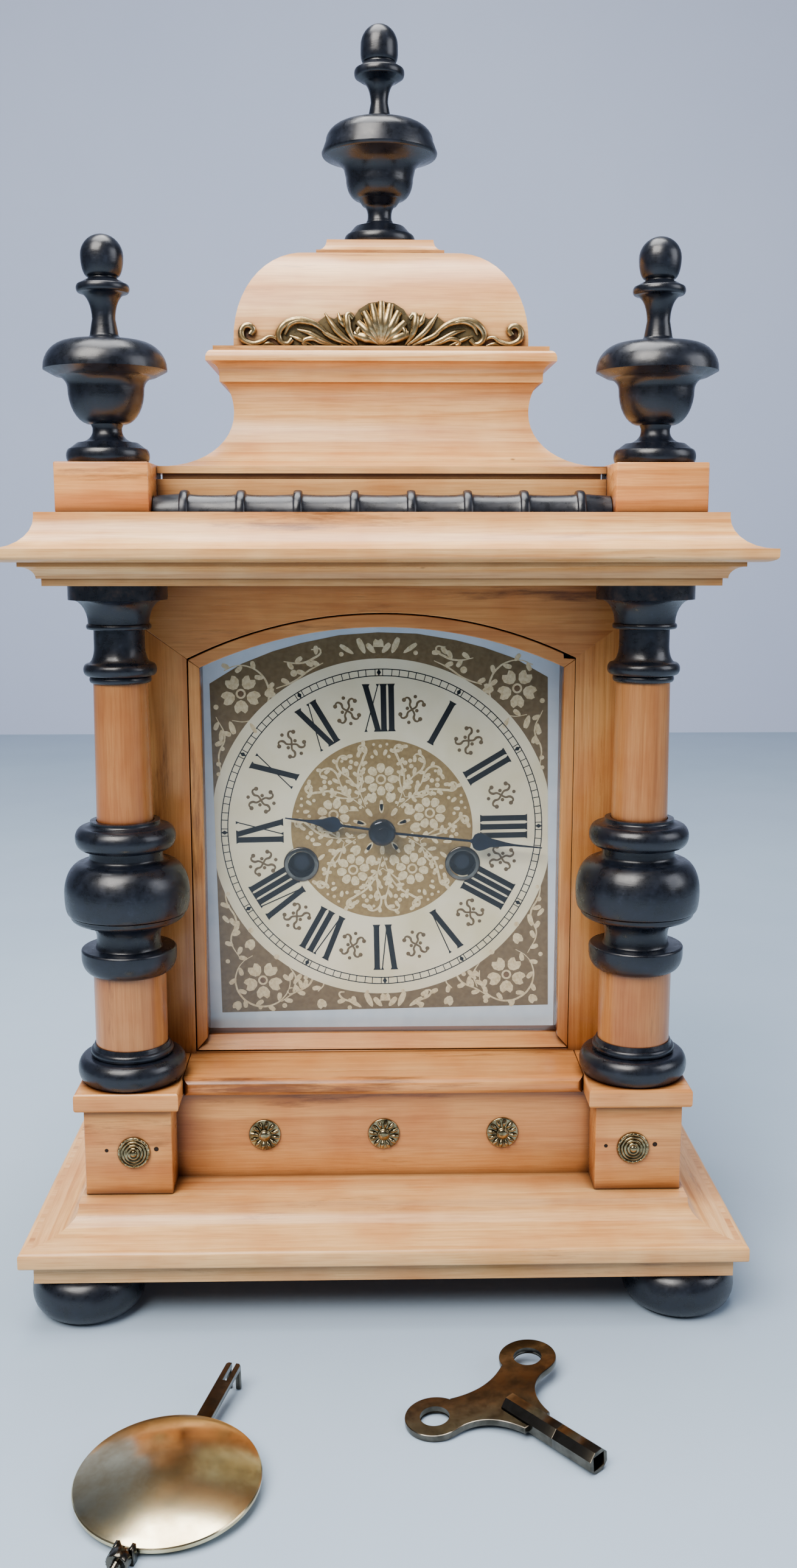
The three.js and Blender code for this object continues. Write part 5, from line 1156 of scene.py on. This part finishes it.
def numeral(letters, angle):
    """Thick and thin strokes of a Roman numeral, turned to its place on the dial."""
    spacing = {"I": 3.45 if len(letters) < 4 and "X" not in letters else 3.05, "V": 6.0, "X": 6.2}
    total = sum(spacing[letter] for letter in letters)
    thick, thin, x = [], [], -total / 2
    for letter in letters:
        step = spacing[letter]
        middle = x + step / 2
        if letter == "I":
            thick.append(bar(middle, middle, THICK))
        elif letter == "V":
            thick.append(bar(middle, middle - 2.2, THICK))
            thin.append(bar(middle + 0.6, middle + 2.6, 0.22))
        else:
            thick.append(bar(middle + 2.2, middle - 2.2, THICK))
            thin.append(bar(middle - 2.4, middle + 2.4, 0.22))
        x += step
    return [about(stroke, angle) for stroke in thick], [about(stroke, angle) for stroke in thin]


hours = ("XII", "I", "II", "III", "IIII", "V", "VI", "VII", "VIII", "IX", "X", "XI")
thick, thin = [], []
for hour, letters in enumerate(hours):
    heavy, fine = numeral(letters, 30 * hour)
    thick += heavy
    thin += fine
for number, stroke in enumerate(thick):
    print_parts.append(inked(f"numeral_thick_{number}", [stroke], 4, BLACK_INK))
print_parts.append(inked("numerals_thin", thin, 5, BLACK_INK))
print("numeral strokes", len(thick), len(thin))

# %% [markdown]
# Between the numerals stand twelve small crosses: four curled arms with a dot at each end.

# %% Crosses
CROSS = 49
arms, dots = [], []
for number in range(12):
    angle = 30 * number + 15
    for sx, sz in ((1, 1), (-1, 1), (1, -1), (-1, -1)):
        arm = [(0, CROSS), (1.3 * sx, CROSS + 1.5 * sz), (1.5 * sx, CROSS + 3.2 * sz),
               (3 * sx, CROSS + 4.1 * sz), (3.9 * sx, CROSS + 3.0 * sz)]
        arms.append((about(arm, angle), 1.15, 0.8, 0.7))
        dots.append(about(ring(4.0 * sx, CROSS + 2.9 * sz, 0.85, 12), angle))
    for x, z in ((0, 54.2), (0, 43.8), (1.9, CROSS), (-1.9, CROSS)):
        dots.append(about(ring(x, z, 0.72, 12), angle))
print_parts.append(drawn("hour_crosses", arms, 4, BROWN_INK))
print_parts.append(inked("hour_cross_dots", dots, 4, BROWN_INK))
print("cross arms", len(arms), "dots", len(dots))

# %% [markdown]
# ## The ornament
# It is all drawn from three things: a petal, a flower of petals round an eye, and leaves set in
# turn on both sides of a stem. An eye is the only outline with `EYE_SIDES` points, so that it can
# be found again and printed in brown.

# %% Petals, flowers and leaves
EYE_SIDES = 16


def petal(x, z, angle, length, width, notch=0.0):
    """A petal or leaf from a point outwards; a notch makes its end heart-shaped."""
    sides = [(0.28, 0.12), (0.5, 0.45), (0.46, 0.8), (0.28, 0.98)]
    right = [(width * w, length * l) for w, l in sides]
    tip = [(0, length * (1 - notch))]
    points = [(0, 0)] + right + tip + facing(right[::-1])
    return about(shifted(points, x, z), angle, x, z)


def flower(x, z, petals, distance, length, width, notch, start_angle=0):
    """A ring of petals round an eye."""
    shapes = []
    for number in range(petals):
        angle = start_angle + 360 * number / petals
        root = about([(x, z + distance)], angle, x, z)[0]
        shapes.append(petal(*root, angle, length, width, notch))
    return shapes + [ring(x, z, distance * 0.82, 20), ring(x, z, distance * 0.5, EYE_SIDES)]


def leaves_along(points, length, width, gap):
    """Small leaves on both sides of a stem, in turn."""
    shapes, side = [], 1
    for (x0, z0), (x1, z1) in zip(points, points[1:]):
        heading = math.degrees(math.atan2(x1 - x0, z1 - z0))
        count = max(1, round(math.dist((x0, z0), (x1, z1)) / gap))
        for share in [(i + 0.5) / count for i in range(count)]:
            x, z = x0 + (x1 - x0) * share, z0 + (z1 - z0) * share
            shapes.append(petal(x, z, heading + 46 * side, length, width))
            side = -side
    return shapes


print("points in a petal", len(petal(0, 0, 0, 4, 3)))

# %% [markdown]
# The middle repeats one fifth of a turn at a time. Only the buds and leaves that stand off the
# fifth's own middle line are mirrored, and what would lie over a winding hole is left out.

# %% Middle ornament
fifth = flower(0, 20, 8, 2.5, 3.9, 3.3, 0.0)
fifth += [ring(x, z, r, 12) for x, z, r in (
    (9.6, 26.4, 0.95), (11.6, 27.2, 0.85), (12.0, 25.0, 0.9), (6.9, 26.0, 0.7), (3.3, 29.0, 0.7),
    (0, 33.2, 0.7), (2.6, 33.9, 0.55), (15.2, 27.5, 0.6), (8.3, 8.9, 0.6))]
fifth += [petal(*leaf) for leaf in (
    (3.2, 10.6, 12, 4.4, 3.9, 0.16), (1.3, 29.4, 24, 2.6, 1.5), (0, 7.2, 0, 4.6, 1.4),
    (9.4, 17.4, 62, 3.6, 1.6), (8.9, 21.6, -58, 3.0, 1.3), (12.8, 21.2, 14, 3.4, 1.5))]
fifth_lines = [
    ([(6.2, 9.2), (8.6, 16), (8.9, 23), (6.6, 29), (5.6, 32.2), (7.4, 33.6), (8.8, 32.2),
      (7.9, 30.9)], 1.1),
    ([(8.3, 15), (12.2, 20.5), (16.8, 24.6), (16.9, 28), (14.4, 29.8), (12.8, 28.6)], 1.05),
    ([(9.3, 12.8), (7.6, 17.8), (7.3, 21), (8.1, 24)], 0.8),
]
off_middle = [shape for shape in fifth[10:] if abs(shape[0][0]) > 0.9]
hole_places = [(x, HOLE_DROP) for x in (-ARBOR_X, ARBOR_X)]
shapes, lines = [], []
for number in range(5):
    for shapes_here, side in ((fifth, 1), ([facing(shape) for shape in off_middle], -1)):
        shapes += [about(shape, 72 * number) for shape in shapes_here]
        for points, width in fifth_lines:
            turned_stem = about([(side * x, z) for x, z in points], 72 * number)
            lines.append((turned_stem, width))


def clear_of_holes(place, reach):
    """True where a place on the dial is further than reach from both winding holes."""
    return all(math.dist(place, hole) >= reach for hole in hole_places)


def centre(shape):
    """The mean of an outline's points."""
    return tuple(sum(values) / len(shape) for values in zip(*shape))


shapes = [shape for shape in shapes if clear_of_holes(centre(shape), 8.2)]
lines = [line for line in lines if clear_of_holes(line[0][len(line[0]) // 2], 8.5)]
leaves = [leaf for points, width in lines for leaf in leaves_along(points, 2.7, 1.5, 4.4)]
hub = [about(petal(0, 6.4, 0, 3.8, 1.9), 36 * number) for number in range(10)]
print_parts.append(inked("middle_flowers", shapes, 5, CREAM_INK))
print_parts.append(drawn("middle_stems", lines, 4, CREAM_INK))
for turn in range(4):
    print_parts.append(inked(f"middle_leaves_{turn}", leaves[turn::4], 5.6 + 0.2 * turn, CREAM_INK))
print_parts.append(inked("hub_petals", hub, 5, CREAM_INK))
print("shapes in the middle", len(shapes), "stems", len(lines), "leaves", len(leaves))

# %% [markdown]
# Each corner has one big flower inside a ring of stem, with buds and leaves that follow the frame.
# The left corners are mirror images of the right ones, but the top and bottom ones differ.

# %% One corner
def corner(x, z, top):
    """A corner's flower with its buds and leaves, and its stems."""
    first, last = (-200, 60) if top else (20, 290)
    around = [about([(x, z + 11)], angle, x, z)[0] for angle in range(first, last, 26)]
    filled = flower(x, z, 5, 2.4, 5.4, 5.4, 0.22, 36)
    stems = [(around, 0.7)]
    if top:
        filled += [
            petal(44.6, 54.2, -72, 4.4, 3.8, 0.15), ring(33, 62.4, 1.35, 14),
            petal(58.5, 44.2, 198, 5.4, 2.3), petal(61.8, 41, 176, 4.6, 1.9),
            ring(63.6, 49.8, 1.0, 12), ring(63.4, 27.4, 0.95, 12), ring(63.6, 23.4, 0.8, 12),
            ring(61.7, 33.4, 0.9, 12), petal(50.6, 43.4, -150, 4.6, 1.7)]
        stems += [
            ([(36.8, 67), (31, 66.2), (26, 67.6), (22.4, 71.2), (26, 71.4)], 0.8),
            ([(21.5, 66.2), (27, 63.4), (33, 59.2), (40, 56.6)], 0.7),
            ([(63.8, 46), (60.6, 38), (63.2, 31), (62.6, 24)], 0.65)]
    else:
        filled += [
            petal(52.4, -43.8, 150, 4.6, 4.0, 0.15), ring(53.2, -40, 1.1, 12),
            ring(62.2, -29.8, 1.0, 12), ring(61.6, -24.8, 0.8, 12),
            petal(59.4, -41, -14, 5.2, 2.1), petal(61.6, -36.8, 40, 3.8, 1.7),
            petal(36.8, -62.6, -40, 5.0, 2.0), petal(33.2, -65.4, 14, 4.4, 1.7),
            ring(31.8, -60.2, 0.9, 12), petal(26.4, -69.2, 200, 4.2, 3.8, 0.15),
            ring(40.6, -71.6, 1.0, 12), ring(50.4, -72.2, 0.8, 12),
            petal(58.6, -69.4, 150, 3.9, 3.6, 0.15), ring(43.2, -51.2, 1.1, 12),
            ring(62.8, -52.6, 0.9, 12)]
        stems += [
            ([(57.6, -52), (61.2, -44), (58.8, -36), (62.4, -28), (62.6, -21)], 0.7),
            ([(42, -70), (37, -66.6), (31, -63.6), (27.2, -59.6), (24.6, -62.6), (27, -66)], 0.75),
            ([(38.4, -55.2), (35.8, -60.2), (37.2, -65.8)], 0.65)]
    return filled, stems


shapes, lines = [], []
for x, z, top in ((53.8, 54.8, True), (49, -60.8, False)):
    filled, stems = corner(x, z, top)
    lines += stems + [(facing(points), width) for points, width in stems]
    shapes += filled + [facing(shape) for shape in filled]
print("corner shapes", len(shapes), "stems", len(lines))

# %% [markdown]
# Between the corners, at the head and at the foot of the dial, stands a small spray of leaves.
# Leaves along the stems that would lie on the hour disc or past the border are left out.

# %% Sprays, eyes and corner leaves
DISC_CLEARANCE, LEAF_HALF = 67.9, 65
for foot_z, bud_rise in ((69.6, 3.4), (-72.9, 6.2)):
    shapes.append(shifted(petal(0, 0, 0, 6.0, 4.2, 0.12), 0, foot_z - 0.4))
    spray = [shifted(petal(*leaf), 0, foot_z) for leaf in (
        (1.4, 0, 40, 4.8, 2.2), (5.2, -0.2, 24, 6.6, 2.4), (9.6, -0.2, 56, 6.4, 1.8))]
    spray += [ring(14.4, foot_z - 0.2, 0.9, 12), ring(7.2, foot_z + bud_rise, 0.8, 12)]
    shapes += spray + [facing(leaf) for leaf in spray]
curl = shifted([(10.5, 0), (14, 2.2), (17.8, 4.2), (18.4, 6), (16.4, 6.4)], 0, -72.9)
lines += [(curl, 0.8), (facing(curl), 0.8)]


def on_the_ground(leaf):
    """True where a leaf lies wholly on the brown ground."""
    return all(math.hypot(x, z) > DISC_CLEARANCE and abs(x) < LEAF_HALF and z < 76.5 - abs(x) / 8
               for x, z in leaf)


solid = [shape for shape in shapes if len(shape) != EYE_SIDES]
eyes = [shape for shape in shapes if len(shape) == EYE_SIDES]
leaves = [leaf for points, width in lines for leaf in leaves_along(points, 3.5, 1.9, 3.9)]
leaves = [leaf for leaf in leaves if on_the_ground(leaf)]
for turn in range(6):
    print_parts.append(inked(f"corner_shapes_{turn}", solid[turn::6], 2.6 + 0.1 * turn, CREAM_INK))
print_parts.append(inked("flower_eyes", eyes, 4, DARK_BROWN_INK))
bold_lines = [(points, 1.3 * width) for points, width in lines]
print_parts.append(drawn("corner_stems", bold_lines, 2, CREAM_INK))
for turn in range(4):
    print_parts.append(inked(f"corner_leaves_{turn}", leaves[turn::4], 2.2 + 0.2 * turn, CREAM_INK))
print("pieces of print", len(print_parts))

# %% [markdown]
# The whole print sits a degree askew on its sheet, as on the clock. Its pieces are joined into one
# per ink and turned together.

# %% Print joined per ink
SKEW = 1
by_ink = {}
for piece in print_parts:
    by_ink.setdefault(piece.data.materials[0], []).append(piece)
for ink, same in by_ink.items():
    whole = join(f"dial_{ink.name}", same)
    activate(whole)
    bpy.ops.transform.rotate(value=math.radians(SKEW), orient_axis="Y",
                             center_override=mm(0, SHEET_FACE, DIAL_Z))
    dress(settle(whole), ink, "case", "printed_paper")
print("inks", [ink.name for ink in by_ink])

# %% [markdown]
# ## Hands, collet and grommets
# The hands are sawn from thin steel and blued: a needle with a pear-shaped swelling, rounded
# towards the middle. A domed collet holds the minute hand, and a brass grommet lines each hole.

# %% Hand outline, blade and lying turnings
def hand_outline(length, swell_at, swell_end, width, boss):
    """One hand pointing up, about its arbor."""
    side = [(0.5, boss), (0.45, swell_at - 1.6), (0.9, swell_at - 0.7), (width * 0.36, swell_at),
            (width * 0.48, swell_at + 1.3), (width * 0.5, swell_at + 2.6),
            (width * 0.42, swell_at + 4.4), (width * 0.25, swell_at + 6.6),
            (0.8, swell_end - 1), (0.45, swell_end + 2), (0.25, length)]
    turns = [math.radians(degrees) for degrees in range(20, 341, 16)]
    around = [(boss * math.sin(turn), boss * math.cos(turn)) for turn in turns]
    return side + facing(side[::-1]) + around[::-1]


def blade(name, outline, degrees, front, back):
    """A hand sawn from thin steel, turned clockwise from 12."""
    return sawn(name, [shifted(about(outline, degrees), 0, DIAL_Z)], front, back, arris=0.15)


def towards_viewer(name, outline, x, y, z, sides=48):
    """A turned piece whose axis points at the viewer."""
    piece = turned(name, outline, (0, 0, 0), sides)
    piece.rotation_euler = (math.pi / 2, 0, 0)
    piece.location = mm(x, y, z)
    return settle(piece)


print("points in a hand", len(hand_outline(38.4, 17.2, 28.5, 6.2, 4.6)))

# %% [markdown]
# The hour hand sits on a pipe with its own wheel behind the dial, and turns with it. The minute
# hand is in front, under a collet of bare steel. The grommets are turned with a rim and a sleeve.

# %% Hands, collet and grommets
hour = blade("hour_blade", hand_outline(38.4, 17.2, 28.5, 6.2, 4.6), 278, 69, 69.8)
pipe = towards_viewer("hour_pipe_turning", Outline(3, 2.2).rise(11.1), 0, 79.3, DIAL_Z)
wheel = towards_viewer("hour_wheel_disc", Outline(10.9, 2.2).rise(1.5), 0, 78.8, DIAL_Z)
hour_hand = join("hour_hand_blade", [hour, pipe, wheel])
dress(hour_hand, BLUED, "hour_pipe", "blued_steel", "hour_hand")
minute = blade("minute_blade", hand_outline(63.2, 36.2, 50, 7.2, 3.4), 96, 66.6, 67.4)
collet_outline = (Outline(5.4).rise(0.5).swell(3.1, 1.7).cone(2.8, -0.35).cone(2.3, 0)
                  .cone(2.1, 0.4).swell(1.1, 0.35).cone(0.9, -0.15).swell(0, 0.3))
collet = towards_viewer("collet_dome", collet_outline, 0, 66.8, DIAL_Z)
dress(minute, BLUED, "minute_arbor", "blued_steel", "minute_hand")
dress(collet, COLLET_STEEL, "minute_arbor", "blued_steel")
rim_outline = Outline(5.42, 5.3).rise(7).step(7.0).swell(6.2, 0.6).cone(5.5, 0.1)
for side, sign in SIDES:
    rim = towards_viewer(f"winding_grommet_{side}", rim_outline, sign * ARBOR_X, 79.8, ARBOR_Z)
    dress(rim, KEY_BRONZE, "case", "old_brass")
measured(minute, collet, rim)

# %% [markdown]
# ## Gilt mount on the dome
# A pressed brass shell between leaf scrolls that end in curls. Each rib and leaf is a strip that
# swells and tapers, laid over the others as the die raised it.

# %% Ribs of the shell
LEAF_WIDTH = 1.35


def mount_line(points, width, *ends):
    """Strip points as (x, height above the ledge, depth in front of the dome)."""
    placed = [(x, LEDGE_TOP + z, DOME_FRONT - depth) for x, z, depth in points]
    return (placed, LEAF_WIDTH * width, *ends)


ribs = []
for number in range(-4, 5):
    lean = math.radians(19 * number)
    reach = 15.2 - 0.2 * number * number
    tip_x, tip_z = 10.2 * math.sin(lean), 2.2 + reach * math.cos(lean) * 0.92
    middle = (tip_x * 0.55, 1.4 + (tip_z - 1.4) * 0.5, 1.7)
    rib = [(0.25 * number, 1.2, 0.8), middle, (tip_x, max(tip_z, 4.2), 1.1)]
    ribs.append(mount_line(rib, 2.9, 0.25, 0.75))
print("ribs", len(ribs))

# %% [markdown]
# The scrolls are drawn for the right side and mirrored. They leave the foot of the shell one after
# the other, each curling over the next, and the last one ends the mount in a loop.

# %% Scrolls and mount
scrolls = []
for side in (1, -1):
    for points, width, *ends in (
        ([(3.5, 1.2, 1.2), (7.4, 3.0, 1.9), (8.6, 5.6, 1.9), (7.2, 6.9, 1.6),
          (6.2, 5.6, 1.3)], 1.7, 0.4, 0.8),
        ([(8.8, 1.2, 0.8), (11.2, 4.6, 1.6), (12.4, 8.6, 1.7), (12.0, 11.6, 1.3),
          (10.4, 10.4, 1)], 2.3, 0.4, 0.7),
        ([(9.6, 1.0, 0.7), (13.6, 3.6, 1.4), (17.4, 7.4, 1.4), (20.6, 12.2, 0.9)], 2.0, 0.5, 0.25),
        ([(11.4, 1.0, 0.7), (15.6, 2.6, 1.3), (20.2, 5.0, 1.2), (23.6, 8.6, 0.8)], 1.8, 0.5, 0.25),
        ([(14.0, 1.0, 0.8), (19.0, 4.4, 1.4), (25.0, 8.6, 1.6), (31.0, 9.6, 1.6), (36.0, 7.4, 1.6),
          (37.4, 3.4, 1.4), (34.6, 1.2, 1.2), (32.6, 3.0, 1.0)], 2.1, 0.4, 0.8),
        ([(17.0, 0.9, 0.7), (21.4, 2.6, 1.3), (26.4, 5.2, 1.3), (30.6, 6.4, 1.0)], 1.7, 0.4, 0.3),
        ([(25.0, 0.9, 0.8), (29.8, 2.8, 1.2), (33.4, 4.2, 1.1)], 1.4, 0.4, 0.4),
        ([(12.0, 6.0, 0.8), (14.6, 9.2, 1.3), (15.8, 12.4, 0.9)], 1.8, 0.4, 0.3),
        ([(38.4, 0.9, 0.7), (41.4, 1.5, 0.9), (44.4, 0.8, 0.8)], 1.2, 0.4, 0.4),
        ([(22.0, 6.4, 1.2), (27.6, 9.0, 1.9), (33.0, 8.2, 1.9), (35.2, 4.6, 1.6)], 1.7, 0.3, 0.4),
        ([(16.0, 0.9, 0.8), (21.4, 1.6, 1.2), (25.8, 3.2, 1.2), (28.6, 1.6, 1.1),
          (27.4, 0.9, 0.9)], 1.6, 0.4, 0.7),
        ([(36.4, 1.6, 0.8), (40.4, 3.8, 1.1), (44.0, 1.9, 1.3), (48.0, 1.4, 1.4), (51.0, 4.2, 1.3),
          (49.6, 7.6, 1.2), (46.8, 6.6, 1.0), (47.8, 4.6, 0.9)], 1.9, 0.3, 0.9),
    ):
        scrolls.append(mount_line([(side * x, z, d) for x, z, d in points], width, *ends))
edge = [(0, 16.4), (4.6, 15.8), (8.2, 13.6), (10.4, 10.2), (12.2, 11.8), (15.0, 11.6),
        (17.2, 10.2), (20.2, 11.4), (23.6, 8.8), (29.0, 10.2), (33.4, 9.4), (36.6, 7.0),
        (37.6, 3.6), (36.6, 0.6)]
backing = shifted(edge + facing(edge)[:0:-1], 0, LEDGE_TOP)
sheet = sawn("gilt_sheet", [backing], 60.9, 61.4)
leaf_work = stroked("gilt_scrolls", ribs + scrolls, sides=3)
mount = join("gilt_mount_pressing", [leaf_work, sheet])
dress(mount, GILT, "case", "gilt_metal", "gilt_mount")
measured(mount)

# %% [markdown]
# ## Rosettes
# The apron's three rosettes are pressed from thin brass: a dark dished rim, twelve petals and a
# smooth button. The bosses on the pedestals are a little rougher: raised circles, one in another.

# %% Apron rosettes
BOSS_Z, APRON_FACE = 57.5, 30.5
dish_outline = (Outline(6.0).rise(0.35).swell(5.5, 0.35).cone(2.4, 0.05).swell(1.9, 0.75)
                .swell(0, 0.75))


def rosette(name, x, z):
    """A dish with a button, and twelve petals pressed up round it."""
    dish = towards_viewer("dish", dish_outline, x, APRON_FACE, z)
    lines = []
    for number in range(12):
        spoke = about([(0, 2.5), (0, 4.0), (0, 5.35)], 30 * number + 9)
        raised = [(x + px, z + pz, APRON_FACE - height)
                  for (px, pz), height in zip(spoke, (0.75, 1.05, 0.8))]
        lines.append((raised, 1.55, 0.45, 0.85))
    petals = stroked("petals", lines, sides=3)
    return dress(join(name, [dish, petals]), OLD_BRASS, "case", "old_brass")


for side, x in (("left", -45), ("centre", 0), ("right", 45)):
    pressed = rosette(f"pressed_rosette_{side}", x, BOSS_Z)
    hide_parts(f"apron_rosette_{side}")
measured(pressed)

# %% [markdown]
# The bosses on the pedestals have twenty-two beads round their edge. Two small nail holes show
# beside each, as thin discs painted with the holes' shadow.

# %% Pedestal bosses and nail holes
BEADS = 22
boss_outline = (Outline(6.0).rise(0.5).swell(5.2, 0.6).cone(4.7, -0.35).swell(4.2, 0.55)
                .cone(3.6, -0.4).swell(3.1, 0.6).cone(2.4, -0.4).swell(1.9, 0.6)
                .cone(1.3, -0.3).swell(0, 0.7))
for side, sign in SIDES:
    x = sign * 92
    boss = towards_viewer("boss_rings", boss_outline, x, BLOCK_FRONT, BOSS_Z)
    beads = []
    for number in range(BEADS):
        (bead_x, bead_z), = about([(0, 5.45)], 360 * number / BEADS)
        start()
        bpy.ops.mesh.primitive_uv_sphere_add(
            segments=8, ring_count=6, radius=mm(0.5),
            location=mm(x + bead_x, BLOCK_FRONT - 0.75, BOSS_Z + bead_z),
        )
        beads.append(settle(bpy.context.object))
    whole = join(f"beaded_boss_{side}", [boss] + beads)
    smooth(50)
    dress(whole, OLD_BRASS, "case", "old_brass", f"pedestal_boss_{side}")
    for number, (dx, dz, radius) in enumerate(((8.2, 1.2, 0.9), (-10.0, 0.8, 0.7))):
        # Each nail hole is a thin disc painted with the hole's shadow.
        hole = towards_viewer(f"nail_hole_{side}_{number}", Outline(radius).rise(0.05),
                              x + dx, 15.49, BOSS_Z + dz, sides=16)
        dress(hole, PAINTED_HOLE_SHADOW, "case", "dark_pine")
measured(whole)

# %% [markdown]
# ## Winding key
# The key lies on its tube and on the edge of its left ring. Its wing is sawn from sheet brass: two
# pierced rings, a concave edge above, and a web that runs down onto the eight-sided tube, whose
# end has a square hole for the winding arbors.

# %% Outline of the key's wing
def sweep(start_point, control, end_point, steps=12):
    """A quadratic curve between two points."""
    return [tuple((1 - t) ** 2 * a + 2 * t * (1 - t) * c + t * t * b
                  for a, c, b in zip(start_point, control, end_point))
            for t in [i / steps for i in range(steps + 1)]]


EYE, EYE_RADIUS, WEB_END, WEB_HALF = 21.3, 9.7, -25, 5.6
crest = [point for point in sweep((-EYE, EYE_RADIUS), (0, -EYE_RADIUS), (EYE, EYE_RADIUS), 40)
         if math.dist(point, (-EYE, 0)) > EYE_RADIUS and math.dist(point, (EYE, 0)) > EYE_RADIUS]
meet = math.degrees(math.atan2(crest[0][1], crest[0][0] + EYE))
turns = [math.radians(270 - (270 - meet) * i / 40) for i in range(41)]
left_eye = [(-EYE + EYE_RADIUS * math.cos(turn), EYE_RADIUS * math.sin(turn)) for turn in turns]
lower_right = sweep((EYE, -EYE_RADIUS), (WEB_HALF * 1.5, -EYE_RADIUS), (WEB_HALF, WEB_END))
wing_outline = (left_eye + crest + facing(left_eye)[::-1] + lower_right
                + facing(lower_right)[::-1])
print("points round the wing", len(wing_outline))

# %% [markdown]
# The three parts are sawn standing up, as every flat shape here. The wing is then laid on its back,
# and the whole key is rolled and turned to its place and set down on the table.

# %% Winding key
def lying(piece):
    """Lays a piece that was sawn standing onto its back."""
    piece.rotation_euler = (-math.pi / 2, 0, 0)
    return settle(piece)


def set_down(*pieces):
    """Lowers pieces together until the lowest point is on the table."""
    ground = min(vertex.co.z for piece in pieces for vertex in piece.data.vertices)
    for piece in pieces:
        piece.location = (0, 0, -ground)
        settle(piece)


eyes = [ring(-EYE, 0, 5.1, 40), ring(EYE, 0, 5.1, 40)]
wing = lying(sawn("wing", [wing_outline] + eyes, -1.1, 1.1, arris=0.35))
octagon = about(ring(0, 0, 4.1, 8), 22.5)
square = rectangle(-2.3, 2.3, -2.3, 2.3)
mouth = sawn("tube_mouth", [octagon, square], -50.6, -34.6, arris=0.2)
shank = sawn("tube_shank", [octagon], -34.7, -12.5, arris=0.2)
key = join("winding_key_body", [wing, mouth, shank])
key.rotation_euler = (0, -math.radians(5.25), math.radians(39.6))
key.location = mm(31.3, -52, 0)
settle(key)
set_down(key)
smooth(30)
dress(key, KEY_BRONZE, "key", "old_brass", "winding_key")
measured(key)

# %% [markdown]
# ## Pendulum
# A brass lens of two shallow shells with a thin turned rim, on a flat rod. The rod's slit and bent
# end hooks onto the leader; at the foot is a stirrup with a knurled nut on a thread. It lies on the
# hook and on the stirrup, so the lens leans a little towards the viewer.

# %% Pendulum lens
lens_outline = Outline(0)
for i in range(1, 13):
    lens_outline.cone(27.4 * i / 12, 3 * ((i / 12) ** 2 - ((i - 1) / 12) ** 2))
lens_outline.cone(27.9, 0.35).cone(28, 0.5).rise(0.7)
lens_outline.cone(27.7, 0.35).cone(27.3, 0.1).cone(27, 0.12)
for i in range(14, 0, -1):
    lens_outline.cone(27 * (i - 1) / 14, 3.85 * ((i / 14) ** 2 - ((i - 1) / 14) ** 2))
lens = turned("lens", lens_outline, (0, 0, 0), sides=96, soft=30)
slot_cutter = board("slot_cutter", -2.8, 2.8, -29, 29, -1, 4.3)
activate(lens)
cut = lens.modifiers.new("rod_slot", "BOOLEAN")
cut.object = slot_cutter
cut.operation = "DIFFERENCE"
bpy.ops.object.modifier_apply(modifier=cut.name)
bpy.data.objects.remove(slot_cutter)
smooth(30)
measured(lens)

# %% [markdown]
# The rod is a flat strip with a slit at its top and the two tines bent down into hooks. Stirrup,
# nut and thread follow each other at its foot; the thread is turned with small grooves.

# %% Rod, stirrup, nut and thread
half_fork = [(2.5, 55.2), (1.9, 56), (0.7, 56), (0.7, 47)]
fork = [(-2.5, -31.3), (2.5, -31.3)] + half_fork + facing(half_fork)[::-1]
strip = lying(sawn("strip", [fork], -4, -2, arris=0.2))
hooks = [soften(board("hook", *sorted((0.7 * sign, 2.5 * sign)), 54.2, 56, -5, 3.6), 0.5)
         for sign in (1, -1)]
yoke = [(-3, 2), (3, 2), (3, 7.4), (1.9, 7.6), (1.2, 5.4), (-1.2, 5.4), (-1.9, 7.6), (-3, 7.4)]
stirrup = sawn("stirrup", [yoke], -31.3, -28.6, arris=0.2)
THREAD_Z, TEETH = 5.9, 22
teeth = []
for i in range(2 * TEETH):
    turn, radius = math.pi * i / TEETH, 3.3 if i % 2 else 3.05
    teeth.append((radius * math.cos(turn), THREAD_Z + radius * math.sin(turn)))
nut = sawn("nut", [teeth], -35.8, -32.3, arris=0.3)
screw = Outline(1.4)
for _ in range(30):
    screw.cone(1.15, 0.38).cone(1.4, 0.38)
thread = towards_viewer("thread", screw, 0, -31.3, THREAD_Z, sides=20)
rod = join("pendulum_rod_strip", [strip] + hooks + [stirrup, nut, thread])
measured(rod)

# %% [markdown]
# Lens and rod are tilted together, because the hook under the rod's end is lower than the stirrup,
# and then turned and set down where they lie in front of the clock.

# %% Pendulum laid on the table
for piece in (lens, rod):
    piece.rotation_euler = (math.atan(5 / 60.2), 0, math.radians(-15.5))
    piece.location = mm(-65.8, -97.2, 0)
    settle(piece)
set_down(lens, rod)
dress(lens, BOB_BRASS, "pendulum", "brass", "pendulum_bob")
dress(rod, KEY_BRONZE, "pendulum", "old_brass", "pendulum_rod")
measured(lens, rod)

# %% [markdown]
# ## What stays of the movement
# Plates, wheels, gong and hammer are shown as the solids they are. They get their metals here: the
# plates are duller than the wheels and carry painted shade on their faces inside the case, the gong
# is black iron, and anchor and hammer are steel.

# %% Metals of the movement
METAL_OF = {
    "gong": IRON, "pallet_anchor": BLUED, "strike_hammer": BLUED, **GREAT_WHEELS,
    "movement_front_plate": PLATE_BRASS, "movement_back_plate": PLATE_BRASS,
}
carried = {name: thing for name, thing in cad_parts.items() if not thing.hide_render}
for name, thing in carried.items():
    thing.data.materials.clear()
    thing.data.materials.append(METAL_OF.get(name, BRASS))
print("solids shown as they are", sorted(carried))
